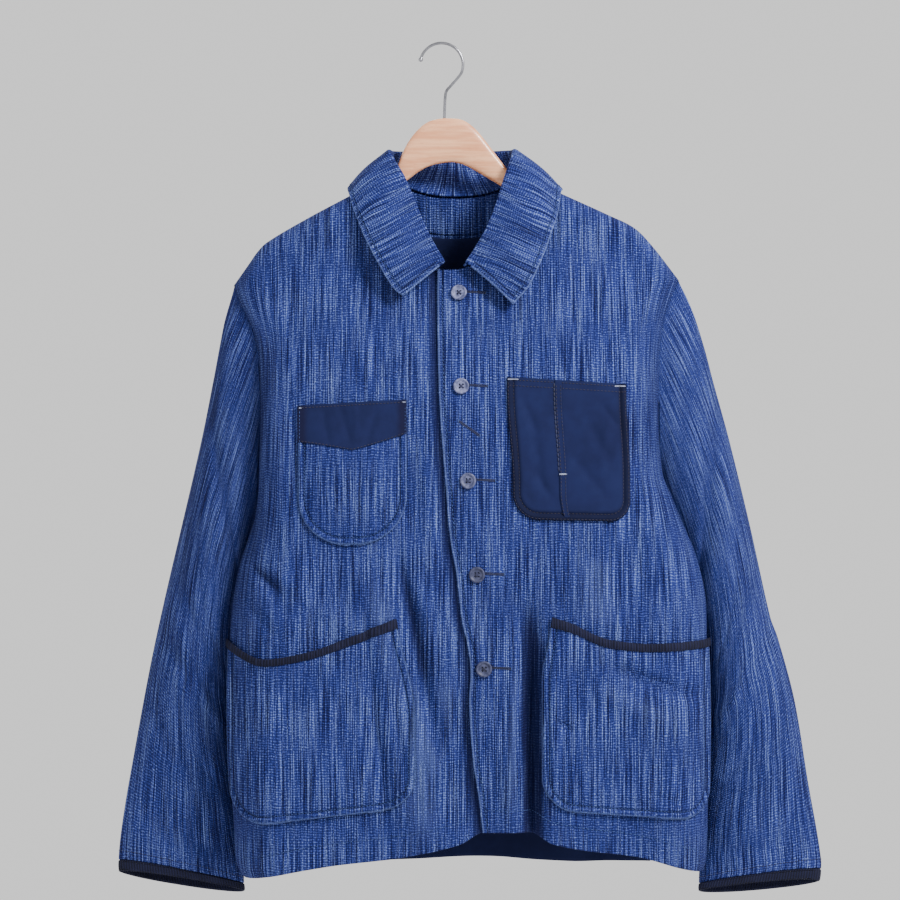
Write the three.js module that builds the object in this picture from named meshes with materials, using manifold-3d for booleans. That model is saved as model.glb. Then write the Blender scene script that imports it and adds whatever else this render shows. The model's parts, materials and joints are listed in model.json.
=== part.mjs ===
// Work jacket of indigo slub cloth with navy patches and bindings, hanging on a wooden hanger.
// Millimetres, +Z up. +X is the wearer's left side, and the front faces -Y.
// The origin lies under the crown of the hook, where a rail carries the part.
import * as THREE from 'three';
import { mergeVertices } from 'three/addons/utils/BufferGeometryUtils.js';
import Module from 'manifold-3d';

const wasm = await Module();
wasm.setup();

// Cloth
const WALL = 2.4; // slub cloth with its backing
const POCKET_WALL = 2;
const TRIM_WALL = 1.2; // navy twill of the bindings, the yoke and the inner facings
const SEAM_GAP = 0.3; // between two pieces at a seam
const LAP = 3.6; // how far the lower front lies behind the upper one
const LAP_WIDTH = 28; // cloth of the lower front that the upper one covers

// Shoulders and armholes
const SHOULDER_ROLL = 22; // radius of the cloth's turn over the hanger
const ROLL_LIMIT = 190; // below the shoulder line, where the body reaches its full depth
const UNDERARM_ROW = 15;
const SIDE_SEAM_Y = -14;
const UNDERARM_Y = -6;
const FRONT_ARMHOLE_SWELL = -30; // how far the front seam of an armhole stands before the shoulder
const BACK_ARMHOLE_SWELL = 36;

// Grid of the body panels
const NECK_COLUMNS = 5;
const SHOULDER_COLUMNS = 9;
// Places of the columns between the neck's column and the side: closer by the neck and the side.
const SHOULDER_SHARES = [0, 0.08, 0.19, 0.33, 0.49, 0.65, 0.79, 0.895, 0.967, 1];
const ROWS = 27;
const ROLL_ROWS = 3;
const SLEEVE_ROWS = 15;

// Neckline
const NECK_CENTRE_X = 15;
const NECK_X = { left: 90, right: -60 }; // where the neckline meets a shoulder seam
const NECK_FRONT_Z = -247;
const NECK_END_X = { left: 20, right: 1 }; // where the neckline ends on each front
const NECK_BACK_Z = -166;
const COLLAR_WALL = 2.6;
const COLLAR_FOLD = 3.2; // half the width of the fold at the collar's crest

// Buttons
const BUTTON_RADIUS = 8.6;
const BUTTON_THICK = 3.2;
const BUTTON_HOLE_RADIUS = 0.95;
const BUTTON_HOLE_PITCH = 1.75;
const BUTTON_PLACES = [
  [18.8, -273.5],
  [21, -374.2],
  [28.4, -474.9],
  [37.9, -574.5],
  [45.3, -674.1],
];

// Hanger
const WIRE_RADIUS = 1.6;
const HOOK_RADIUS = 23.4;
const HOOK_TIP_RADIUS = 2.6;
const WOOD_HALF_DEPTH = 6.4;
const WOOD_HALF_DEPTH_AT_END = 13;

const { clamp, degToRad, lerp } = THREE.MathUtils;
const point = (x, y, z) => new THREE.Vector3(x, y, z);
const bell = (distance, half) => Math.exp(-((distance / half) ** 2));

// A smooth step from 0 at `from` to 1 at `to`, which may lie below `from`.
function rise(from, to, value) {
  const share = clamp((value - from) / (to - from), 0, 1);
  return share * share * (3 - 2 * share);
}

// A smooth curve through [at, value] knots in rising order of `at`, level beyond both ends.
function through(knots) {
  const last = knots.length - 1;
  const slopes = knots.map((knot, i) => {
    const before = knots[Math.max(i - 1, 0)];
    const after = knots[Math.min(i + 1, last)];
    return (after[1] - before[1]) / (after[0] - before[0]);
  });
  return (at) => {
    const here = clamp(at, knots[0][0], knots[last][0]);
    let i = 1;
    while (i < last && here > knots[i][0]) i += 1;
    const [from, low] = knots[i - 1];
    const [to, high] = knots[i];
    const span = to - from;
    const t = (here - from) / span;
    const s = 1 - t;
    const ends = low * (1 + 2 * t) * s * s + high * (3 - 2 * t) * t * t;
    return ends + (slopes[i - 1] * s - slopes[i] * t) * span * s * t;
  };
}

// Outline of the hanging body from the front. Side edges are [z, x], the other lines [x, z].
const sideEdge = {
  left: through([
    [-898, 283], [-885, 287], [-820, 289], [-712, 290], [-647, 288], [-597, 286], [-551, 275],
    [-520, 262], [-489, 248], [-470, 240], [-431, 235], [-360, 234.5], [-322, 237], [-298, 242],
    [-277, 249.5], [-257, 258.5],
  ]),
  right: through([
    [-905, -213], [-890, -222], [-850, -225], [-788, -229], [-720, -231], [-656, -230],
    [-613, -227.5], [-568, -220], [-534, -209], [-497, -200], [-457, -197], [-407, -195],
    [-360, -196], [-325, -200], [-301, -209], [-278, -220.5], [-262, -226],
  ]),
};
const shoulderLine = through([
  [-226, -262.5], [-219.6, -253.4], [-209.4, -238.9], [-200.7, -226.5], [-190.4, -216],
  [-146.6, -190], [-103, -166.7], [-60, -143.5], [-20, -124], [15, -118], [50, -125],
  [90, -144.3], [130.3, -162.6], [180.7, -185.5], [211.3, -201], [232.2, -223], [258.5, -257],
]);
const frontEdge = through([
  [-849, 44], [-807.7, 39], [-772.7, 33.7], [-710.2, 29.5], [-678.4, 30.8], [-649.8, 28],
  [-624.3, 22], [-570.3, 15.5], [-537.4, 9.5], [-473.8, 4], [-420.8, -0.2], [-374.2, -2.9],
  [-283, -4.5], [-243, -4.5],
]);
const hem = {
  left: through([
    [36, -848.5], [60, -848.5], [97, -850.4], [117.4, -860.5], [156.6, -868.1], [189.7, -871.7],
    [217.6, -876.7], [249.6, -886.2], [287, -898],
  ]),
  right: through([
    [-222, -905], [-202.5, -900.8], [-118, -884.5], [-39.4, -874.8], [19.4, -861.2],
    [44.8, -848], [90, -846],
  ]),
  back: through([
    [-222, -905], [-180, -902], [-42, -897], [50, -893.8], [123, -898], [287, -898],
  ]),
};

// Depth of the body, by height: how far it stands out from the hanger's plane.
const frontDepth = through([
  [-900, 84], [-750, 90], [-600, 88], [-450, 78], [-350, 64], [-262, 46], [-150, 26],
]);
const backDepth = through([
  [-900, 70], [-700, 66], [-500, 60], [-350, 54], [-262, 46], [-150, 30],
]);
const sideRound = through([[-905, 50], [-650, 58], [-540, 48], [-470, 38], [-330, 34], [-262, 30]]);

const UNDERARM_Z = -516.5;
const SHOULDER_END_Z = -262;
const SLEEVE_INNER_END_Z = -925;

// Folds of the front and the back. Each runs down along x = at + lean * (from - z), from the
// height `from` to the height `to`, and sinks inwards by `deep`; a ridge has a negative depth.
const FRONT_FOLDS = [
  { at: 97, lean: 0, from: -585, to: -930, half: 11, deep: 13 },
  { at: -31, lean: 0.02, from: -420, to: -560, half: 13, deep: 4 },
  { at: -48, lean: 0.24, from: -520, to: -860, half: 13, deep: 5 },
  { at: -84, lean: 0.22, from: -540, to: -900, half: 20, deep: -4 },
  { at: -196, lean: 0.6, from: -562, to: -625, half: 10, deep: 4 },
  { at: -168, lean: 0.1, from: -330, to: -560, half: 12, deep: 3 },
  { at: 212, lean: -0.02, from: -330, to: -640, half: 14, deep: 3 },
  { at: 160, lean: 0.1, from: -545, to: -640, half: 22, deep: -3 },
  { at: -6, lean: 0.1, from: -670, to: -800, half: 24, deep: -5 },
];
const BACK_FOLDS = [
  { at: -95, lean: -0.04, from: -430, to: -960, half: 24, deep: 9 },
  { at: 128, lean: 0.05, from: -470, to: -960, half: 22, deep: 10 },
  { at: 20, lean: 0.02, from: -300, to: -960, half: 40, deep: -4 },
  { at: 215, lean: 0.1, from: -560, to: -960, half: 18, deep: 6 },
];

function foldDepth(folds, x, z) {
  let depth = 0;
  for (const fold of folds) {
    const line = fold.at + fold.lean * (fold.from - z);
    const fade = (fold.from - fold.to) * 0.25;
    const start = rise(0, fade, fold.from - z);
    const end = rise(0, fade, z - fold.to);
    depth += fold.deep * start * end * bell(x - line, fold.half);
  }
  return depth;
}

// Seam line of the side and of the armhole: how far it stands forward or back, by height.
function seamY(z, swell) {
  if (z <= UNDERARM_Z) return lerp(UNDERARM_Y, SIDE_SEAM_Y, rise(0, 100, UNDERARM_Z - z));
  const share = clamp((z - UNDERARM_Z) / (SHOULDER_END_Z - UNDERARM_Z), 0, 1);
  return lerp(UNDERARM_Y, 0, share) + swell * Math.sin(Math.PI * share) ** 0.8;
}

// Depth of a body panel at a point of its front view. It turns over the shoulder line on a
// quarter circle, and towards the side edge on a quarter ellipse.
function bodyY(x, z, depthAt, swell, folds, outwards) {
  const below = Math.max(shoulderLine(x) - z, 0);
  const turn = 1 - Math.min(below / SHOULDER_ROLL, 1);
  const full = depthAt(z) - SHOULDER_ROLL;
  const left = sideEdge.left(z);
  const right = sideEdge.right(z);
  const across = (2 * x - left - right) / (left - right);
  let depth = SHOULDER_ROLL * Math.sqrt(1 - turn * turn);
  depth += full * (1 - 0.1 * across * across) * rise(0, ROLL_LIMIT, below);
  depth -= foldDepth(folds, x, z) * rise(0, 60, below);
  const fromEdge = Math.max(Math.min(left - x, x - right), 0);
  const round = 1 - Math.min(fromEdge / sideRound(z), 1);
  const edge = seamY(z, swell);
  return edge + (outwards * depth - edge) * Math.sqrt(1 - round * round);
}

const frontY = (x, z) => bodyY(x, z, frontDepth, FRONT_ARMHOLE_SWELL, FRONT_FOLDS, -1);
const backY = (x, z) => bodyY(x, z, backDepth, BACK_ARMHOLE_SWELL, BACK_FOLDS, 1);

// The lower front lies flush beside the upper one's free edge and dips behind it, deeper where
// the two part below the last button.
const SLOT = { z: -745, half: 38, deep: 3, wide: 8 };
const DIP_FROM = -20;
const DIP_TO = -3;
function underFrontY(x, z) {
  const slot = bell(z - SLOT.z, SLOT.half);
  const dip = rise(DIP_FROM - SLOT.wide * slot, DIP_TO, x - frontEdge(z));
  return frontY(x, z) + (LAP + SLOT.deep * slot) * dip;
}

// Neckline of a front: a rounded fall from the shoulder to the centre. `reach` runs from 0 at
// the centre to 1 at the shoulder.
function frontNeckZ(reach, shoulderZ) {
  const power = 1.5;
  const share = clamp(reach, 0, 1);
  return shoulderZ + (NECK_FRONT_Z - shoulderZ) * (1 - share ** power) ** (1 / power);
}

const neckReach = (side, x) => (x - NECK_END_X[side]) / (NECK_X[side] - NECK_END_X[side]);

const panels = {
  left: {
    inner: frontEdge,
    outer: sideEdge.left,
    neck: through([[-860, 97], [-580, 97], [-300, NECK_X.left]]),
    hem: hem.left,
    top: (x) => (x >= NECK_X.left ? shoulderLine(x)
      : frontNeckZ(neckReach('left', x), shoulderLine(NECK_X.left))),
    y: frontY,
    seam: -SEAM_GAP / 2,
  },
  right: {
    inner: (z) => frontEdge(z) + LAP_WIDTH,
    outer: sideEdge.right,
    neck: through([[-860, -30], [-600, -45], [-300, NECK_X.right]]),
    hem: hem.right,
    top: (x) => (x <= NECK_X.right ? shoulderLine(x)
      : frontNeckZ(neckReach('right', x), shoulderLine(NECK_X.right))),
    y: underFrontY,
    seam: -SEAM_GAP / 2,
  },
};
for (const side of ['left', 'right']) {
  panels[`back_${side}`] = {
    inner: (z) => lerp(NECK_CENTRE_X, 30, rise(-200, -900, z)),
    outer: sideEdge[side],
    neck: through([[-900, side === 'left' ? 110 : -50], [-300, NECK_X[side]]]),
    hem: hem.back,
    top: (x) => {
      const reach = Math.abs(x - NECK_CENTRE_X) / (NECK_X.left - NECK_CENTRE_X);
      if (reach >= 1) return shoulderLine(x);
      const edge = shoulderLine(x < NECK_CENTRE_X ? NECK_X.right : NECK_X.left);
      return NECK_BACK_Z + (edge - NECK_BACK_Z) * reach ** 2.4;
    },
    y: backY,
    seam: SEAM_GAP / 2,
  };
}

// Height of a row between the hem and the top line. The last rows share the turn's angle.
function rowZ(row, bottom, top) {
  const left = ROWS - row;
  if (left < ROLL_ROWS) return top - SHOULDER_ROLL * (1 - Math.cos((Math.PI / 2) * (left / ROLL_ROWS)));
  return lerp(bottom, top - SHOULDER_ROLL, row / (ROWS - ROLL_ROWS));
}

// Place of a column between a panel's inner and outer edge at a height.
function columnX(panel, column, z) {
  const inner = panel.inner(z);
  const outer = panel.outer(z);
  const neck = panel.neck(z);
  if (column <= NECK_COLUMNS) {
    return lerp(inner, neck, Math.sin((Math.PI / 2) * (column / NECK_COLUMNS)));
  }
  return lerp(neck, outer, SHOULDER_SHARES[column - NECK_COLUMNS]);
}

function panelPoint(panel, column, row) {
  const passes = 16;
  let z = lerp(NECK_FRONT_Z, SLEEVE_INNER_END_Z, 1 - row / ROWS);
  let x = columnX(panel, column, z);
  for (let pass = 0; pass < passes; pass += 1) {
    z = rowZ(row, panel.hem(x), panel.top(x));
    x = columnX(panel, column, z);
  }
  return point(x, panel.y(x, z) + panel.seam, z);
}

// A grid is a list of columns, each a list of points from its first row to its last.
function makeGrid(columns, rows, at) {
  return Array.from({ length: columns + 1 }, (_, i) =>
    Array.from({ length: rows + 1 }, (_, j) => at(i, j)));
}

const moved = (grid, normals, distance) => grid.map((column, i) =>
  column.map((p, j) => p.clone().addScaledVector(normals[i][j], distance)));

const part = (grid, fromColumn, toColumn, fromRow, toRow) =>
  grid.slice(fromColumn, toColumn + 1).map((column) => column.slice(fromRow, toRow + 1));

// Unit normals of a grid, from the columns' direction times the rows' direction.
function gridNormals(grid, around = false) {
  const last = grid.length - 1;
  return grid.map((column, i) => column.map((_, j) => {
    const before = around ? (i + last) % grid.length : Math.max(i - 1, 0);
    const after = around ? (i + 1) % grid.length : Math.min(i + 1, last);
    const alongColumns = grid[after][j].clone().sub(grid[before][j]);
    const low = column[Math.max(j - 1, 0)];
    const alongRows = column[Math.min(j + 1, column.length - 1)].clone().sub(low);
    return alongColumns.cross(alongRows).normalize();
  }));
}

// The closed wall between an outer and an inner grid, open or running around.
function wallGeometry(outer, inner, around = false) {
  const columns = outer.length;
  const rows = outer[0].length;
  const positions = [outer, inner].flatMap((grid) => grid.flat().flatMap((p) => p.toArray()));
  const out = (i, j) => (i % columns) * rows + j;
  const back = (i, j) => columns * rows + out(i, j);
  const index = [];
  const quad = (a, b, c, d) => index.push(a, b, c, a, c, d);
  const spans = around ? columns : columns - 1;
  for (let i = 0; i < spans; i += 1) {
    for (let j = 0; j < rows - 1; j += 1) {
      quad(out(i, j), out(i + 1, j), out(i + 1, j + 1), out(i, j + 1));
      quad(back(i, j), back(i, j + 1), back(i + 1, j + 1), back(i + 1, j));
    }
    quad(out(i, 0), back(i, 0), back(i + 1, 0), out(i + 1, 0));
    quad(out(i, rows - 1), out(i + 1, rows - 1), back(i + 1, rows - 1), back(i, rows - 1));
  }
  if (!around) {
    for (let j = 0; j < rows - 1; j += 1) {
      quad(out(0, j), out(0, j + 1), back(0, j + 1), back(0, j));
      const end = columns - 1;
      quad(out(end, j), back(end, j), back(end, j + 1), out(end, j + 1));
    }
  }
  const geometry = new THREE.BufferGeometry();
  geometry.setAttribute('position', new THREE.Float32BufferAttribute(positions, 3));
  geometry.setIndex(index);
  geometry.computeVertexNormals();
  return geometry;
}

function clothWall(outer, wall, around = false) {
  return wallGeometry(outer, moved(outer, gridNormals(outer, around), -wall), around);
}

// A solid through closed rings of points, with a flat fan on its first and last ring.
function loft(rings) {
  const count = rings[0].length;
  const positions = rings.flat().flatMap((p) => p.toArray());
  const index = [];
  for (let i = 0; i < rings.length - 1; i += 1) {
    for (let k = 0; k < count; k += 1) {
      const here = i * count + k;
      const next = i * count + ((k + 1) % count);
      index.push(here, next, next + count, here, next + count, here + count);
    }
  }
  const end = (rings.length - 1) * count;
  for (let k = 1; k < count - 1; k += 1) {
    index.push(0, k + 1, k, end, end + k, end + k + 1);
  }
  const geometry = new THREE.BufferGeometry();
  geometry.setAttribute('position', new THREE.Float32BufferAttribute(positions, 3));
  geometry.setIndex(index);
  geometry.computeVertexNormals();
  return geometry;
}

const slub = new THREE.MeshStandardMaterial({ color: 0x3a5aa0, roughness: 0.92, metalness: 0 });
const navy = new THREE.MeshStandardMaterial({ color: 0x1f2850, roughness: 0.88, metalness: 0 });
const horn = new THREE.MeshStandardMaterial({ color: 0x9696b4, roughness: 0.42, metalness: 0 });
const beech = new THREE.MeshStandardMaterial({ color: 0xe8bea0, roughness: 0.38, metalness: 0 });
const steel = new THREE.MeshStandardMaterial({ color: 0x8c8c90, roughness: 0.28, metalness: 1 });

const jacket = new THREE.Group();

function add(name, geometry, material) {
  const mesh = new THREE.Mesh(geometry, material);
  mesh.name = name;
  jacket.add(mesh);
  return mesh;
}

// Body panels. Fronts list their columns along +X, the back along -X, so that they face out.
const COLUMNS = NECK_COLUMNS + SHOULDER_COLUMNS;
const bodyGrid = {
  front_left: makeGrid(COLUMNS, ROWS, (i, j) => panelPoint(panels.left, i, j)),
  front_right: makeGrid(COLUMNS, ROWS, (i, j) => panelPoint(panels.right, COLUMNS - i, j)),
  back: makeGrid(2 * COLUMNS, ROWS, (i, j) => (i <= COLUMNS
    ? panelPoint(panels.back_left, COLUMNS - i, j)
    : panelPoint(panels.back_right, i - COLUMNS, j))),
};

// Normals of a body panel. At its side seams, armholes and shoulder seams the cloth runs straight
// across the seam, so they have no part along Y there.
function bodyNormals(grid) {
  const last = grid.length - 1;
  return gridNormals(grid).map((column, i) => column.map((normal, j) => {
    const top = grid[i][ROWS];
    const onShoulder = j === ROWS && Math.abs(top.z - shoulderLine(top.x)) < 0.1;
    const onSide = (i === 0 || i === last) && Math.abs(grid[i][j].x - frontEdge(top.z)) > 100;
    return onShoulder || onSide ? normal.setY(0).normalize() : normal;
  }));
}
for (const [name, grid] of Object.entries(bodyGrid)) {
  add(name, wallGeometry(grid, moved(grid, bodyNormals(grid), -WALL)), slub);
}

// Layers that show inside the back: a slub facing at the neck, and navy twill under it and at
// the hem. `trim` shortens a layer at its top.
const insideBack = moved(bodyGrid.back, bodyNormals(bodyGrid.back), -(WALL + SEAM_GAP));
const NECK_LEFT = SHOULDER_COLUMNS;
const NECK_RIGHT = SHOULDER_COLUMNS + 2 * NECK_COLUMNS;
const FACING_ROW = ROWS - 4;

function innerLayer(fromColumn, toColumn, fromRow, toRow, trim = 0) {
  const patch = part(insideBack, fromColumn, toColumn, fromRow, toRow).map((column) => {
    const top = column[column.length - 1];
    const under = column[column.length - 2];
    return [...column.slice(0, -1), top.clone().add(under.clone().sub(top).setLength(trim))];
  });
  return clothWall(patch, TRIM_WALL);
}
add('back_neck_facing', innerLayer(NECK_LEFT, NECK_RIGHT, FACING_ROW, ROWS), slub);
add('back_neck_lining', innerLayer(NECK_LEFT, NECK_RIGHT, FACING_ROW - 4, FACING_ROW, SEAM_GAP), navy);
add('back_hem_lining', innerLayer(5, 18, 0, 3), navy);

// Sleeves
const sleeves = {
  left: {
    front: bodyGrid.front_left[COLUMNS],
    back: bodyGrid.back[0],
    out: 1,
    outerX: through([
      [-914, 412], [-891, 413.5], [-803, 399], [-716, 384.7], [-648, 366.5], [-626, 358.5],
      [-528, 336.5], [-431, 313], [-369, 296], [-333.6, 286.7], [-283, 270.5], [-257, 259],
    ]),
    innerX: through([
      [-925, 292], [-860, 295], [-800, 298], [-716, 299], [-650, 297.5], [-598, 295],
      [-552, 285], [-517, 265],
    ]),
    outerEndZ: -914,
  },
  right: {
    front: bodyGrid.front_right[0],
    back: bodyGrid.back[2 * COLUMNS],
    out: -1,
    outerX: through([
      [-904, -351], [-888, -351.3], [-857, -348.3], [-804, -340], [-649, -311], [-433, -261],
      [-367, -247.6], [-317, -238], [-300, -234.5], [-262, -226],
    ]),
    innerX: through([
      [-925, -226], [-860, -231], [-800, -236], [-700, -237], [-620, -234], [-568, -228],
      [-540, -218], [-517, -206.5],
    ]),
    outerEndZ: -904,
  },
};
const SLEEVE_CUFF_SHARE = 0.9795; // where the cloth ends and the binding begins
const ARMHOLE_GAP = 2.6; // to a body panel's edge, whose cloth runs straight across the seam
const ARMHOLE_FADE = 0.42;
const CUFF_LIFT = 7; // how much higher the cuff's front rim lies than its back rim
const sleeveY = through([[0, 2], [0.35, 22], [0.7, 22], [1, 16]]);
const sleeveHalfDepth = through([[0, 34], [0.2, 52], [0.4, 58], [0.6, 50], [0.8, 34], [1, 17]]);

// The armhole as one loop: up the front seam from the underarm, and down the back seam.
function armhole({ front, back, out }) {
  const up = front.slice(UNDERARM_ROW);
  const down = back.slice(UNDERARM_ROW + 1, -1).reverse();
  const loop = [...up, ...down].map((p) => point(p.x + out * ARMHOLE_GAP, p.y, p.z));
  loop[0].y = (front[UNDERARM_ROW].y + back[UNDERARM_ROW].y) / 2;
  loop[up.length - 1].y = 0;
  return loop;
}

// Creases of a sleeve: shares along it, with the side that they cross.
const SLEEVE_CREASES = [
  { at: 0.22, half: 0.035, deep: 5, around: 0.4 },
  { at: 0.45, half: 0.03, deep: 4, around: 1.2 },
  { at: 0.53, half: 0.028, deep: 4, around: 2.2 },
  { at: 0.72, half: 0.035, deep: 3, around: 0.9 },
];

function sleevePoint(sleeve, loop, k, share) {
  const angle = (2 * Math.PI * k) / loop.length;
  const ring = (at) => {
    const outerZ = lerp(SHOULDER_END_Z, sleeve.outerEndZ, at);
    const innerZ = lerp(UNDERARM_Z, SLEEVE_INNER_END_Z, at);
    const reach = (1 - Math.cos(angle)) / 2;
    const x = lerp(sleeve.innerX(innerZ), sleeve.outerX(outerZ), reach);
    const z = lerp(innerZ, outerZ, reach) + CUFF_LIFT * rise(0.85, 1, at) * Math.sin(angle);
    let depth = sleeveHalfDepth(at);
    for (const crease of SLEEVE_CREASES) {
      const line = crease.at + 0.05 * Math.cos(angle - crease.around);
      depth -= crease.deep * bell(at - line, crease.half);
    }
    return point(x, sleeveY(at) - depth * Math.sin(angle), z);
  };
  const start = ring(0);
  const fade = (1 - Math.min(share / ARMHOLE_FADE, 1)) ** 1.6;
  return ring(share).addScaledVector(loop[k].clone().sub(start), fade);
}

function sleeveGrid(sleeve, rows, from, to) {
  const loop = armhole(sleeve);
  const columns = loop.map((_, k) => Array.from({ length: rows + 1 }, (__, j) =>
    sleevePoint(sleeve, loop, k, lerp(from, to, j / rows))));
  return sleeve.out > 0 ? columns : [columns[0], ...columns.slice(1).reverse()];
}

for (const side of ['left', 'right']) {
  const sleeve = sleeves[side];
  const cloth = sleeveGrid(sleeve, SLEEVE_ROWS, 0, SLEEVE_CUFF_SHARE);
  add(`sleeve_${side}`, clothWall(cloth, WALL, true), slub);
  const edge = sleeveGrid(sleeve, 1, SLEEVE_CUFF_SHARE + 0.0006, 1);
  const edgeNormals = gridNormals(edge, true);
  const proud = moved(edge, edgeNormals, 0.8);
  const behind = moved(edge, edgeNormals, -WALL - 0.4);
  add(`cuff_binding_${side}`, wallGeometry(proud, behind, true), navy);
}

// Collar: a stand that rises from the neckline and a leaf that falls from its crest. Stations
// follow the panels' own neck columns, from the right front end round the back to the left.
// `reach` is -1 at the right front end, 0 at the centre back and 1 at the left front end.
const crest = {
  x: through([
    [-1, 3.3], [-0.89, -13], [-0.78, -27], [-0.67, -40], [-0.56, -56], [-0.44, -52],
    [-0.22, -22], [0, 15], [0.22, 50], [0.44, 76], [0.56, 78], [0.67, 68], [0.78, 57],
    [0.89, 44], [1, 27],
  ]),
  y: through([
    [-1, -63], [-0.89, -52], [-0.78, -38], [-0.67, -24], [-0.56, -8], [-0.44, 26],
    [-0.22, 50], [0, 56], [0.22, 50], [0.44, 26], [0.56, -8], [0.67, -24], [0.78, -38],
    [0.89, -52], [1, -63],
  ]),
  z: through([
    [-1, -241], [-0.89, -212], [-0.78, -180], [-0.67, -148], [-0.56, -119], [-0.44, -115],
    [0, -113], [0.44, -114], [0.56, -119], [0.67, -150], [0.78, -184], [0.89, -213], [1, -241],
  ]),
};
const leafEdge = {
  x: through([
    [-1, -40.8], [-0.89, -53], [-0.78, -70], [-0.67, -85], [-0.56, -97], [-0.44, -103],
    [-0.33, -96], [-0.22, -70], [-0.11, -32], [0, 15], [0.11, 60], [0.22, 98], [0.33, 124],
    [0.44, 131], [0.56, 128.5], [0.67, 119], [0.78, 107], [0.89, 93], [1, 77.2],
  ]),
  y: through([
    [-1, -82], [-0.89, -78], [-0.78, -66], [-0.67, -46], [-0.56, -18], [-0.44, 8],
    [-0.33, 34], [-0.22, 52], [0, 62], [0.22, 52], [0.33, 34], [0.44, 8], [0.56, -18],
    [0.67, -46], [0.78, -66], [0.89, -80], [1, -86],
  ]),
  z: through([
    [-1, -277.3], [-0.89, -267], [-0.78, -238], [-0.67, -208], [-0.56, -176], [-0.44, -157],
    [-0.33, -160], [-0.22, -168], [0, -178], [0.22, -168], [0.33, -161], [0.44, -160],
    [0.56, -178], [0.67, -208], [0.78, -240], [0.89, -268], [1, -287],
  ]),
};
const LEAF_ROWS = 3;
const LEAF_CROWN = 5; // how far a leaf bulges between its crest and its edge
const LEAF_CLEARANCE = 4.8; // from the panels' outer face to the middle of the leaf
const STAND_FOOT = 2.5; // between the neckline and the stand

// The middle of a panel's wall at its neckline, with the foot's gap square to that line.
function neckSeat(grid, i) {
  const normal = gridNormals(grid)[i][ROWS];
  const top = grid[i][ROWS];
  const along = grid[i + 1][ROWS].clone().sub(grid[i - 1][ROWS]);
  const up = normal.clone().cross(along).setLength(STAND_FOOT);
  return top.clone().add(up).addScaledVector(normal, -WALL / 2);
}

function neckSeats() {
  const { front_left: left, front_right: right, back } = bodyGrid;
  const seats = [];
  for (let i = 1; i < NECK_COLUMNS; i += 1) seats.push(neckSeat(right, COLUMNS - i));
  const corner = (front, i, j) => neckSeat(front, i).lerp(neckSeat(back, j), 0.5);
  seats.push(corner(right, SHOULDER_COLUMNS, NECK_RIGHT));
  for (let j = NECK_RIGHT - 1; j > NECK_LEFT; j -= 1) seats.push(neckSeat(back, j));
  seats.push(corner(left, NECK_COLUMNS, NECK_LEFT));
  for (let i = NECK_COLUMNS - 1; i > 0; i -= 1) seats.push(neckSeat(left, i));
  return seats;
}

// Keeps a point of the leaf off the shoulders and the panels under it.
function offBody(p) {
  const clear = p.clone();
  const across = Math.min(Math.abs(p.y) / SHOULDER_ROLL, 1);
  if (across < 0.75) {
    const roof = shoulderLine(p.x) - SHOULDER_ROLL * (1 - Math.sqrt(1 - across * across));
    clear.z = Math.max(p.z, roof + LEAF_CLEARANCE * 1.25);
  } else if (p.z < shoulderLine(p.x)) {
    if (p.y < 0) clear.y = Math.min(p.y, frontY(p.x, p.z) - LEAF_CLEARANCE);
    else clear.y = Math.max(p.y, backY(p.x, p.z) + LEAF_CLEARANCE);
  }
  return clear;
}

function collarStation(seat, reach) {
  const top = point(crest.x(reach), crest.y(reach), crest.z(reach));
  const edge = point(leafEdge.x(reach), leafEdge.y(reach), leafEdge.z(reach));
  const toSeat = seat.clone().sub(top);
  const fold = COLLAR_FOLD * clamp(toSeat.length() / 14, 0.6, 1);
  toSeat.normalize();
  const toEdge = edge.clone().sub(top).normalize();
  const apart = toEdge.clone().sub(toSeat).normalize();
  const down = toEdge.clone().add(toSeat).normalize();
  const inner = top.clone().addScaledVector(apart, -fold).addScaledVector(down, 1.2 * fold);
  const outer = top.clone().addScaledVector(apart, fold).addScaledVector(down, 1.2 * fold);
  const leaf = Array.from({ length: LEAF_ROWS }, (_, j) => {
    const share = (j + 1) / LEAF_ROWS;
    const p = outer.clone().lerp(edge, share);
    return offBody(p.addScaledVector(apart, LEAF_CROWN * Math.sin(Math.PI * share)));
  });
  return [seat, seat.clone().lerp(inner, 0.5), inner, top, outer, ...leaf];
}

// One more seat halfway between each two.
const seats = neckSeats().flatMap((seat, i, all) => (
  i === 0 ? [seat] : [all[i - 1].clone().lerp(seat, 0.5), seat]));
const collarMiddle = seats.map((seat, i) => collarStation(seat, (2 * i) / (seats.length - 1) - 1));
const collarNormals = gridNormals(collarMiddle);
add('collar', wallGeometry(
  moved(collarMiddle, collarNormals, COLLAR_WALL / 2),
  moved(collarMiddle, collarNormals, -COLLAR_WALL / 2),
), slub);

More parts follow.
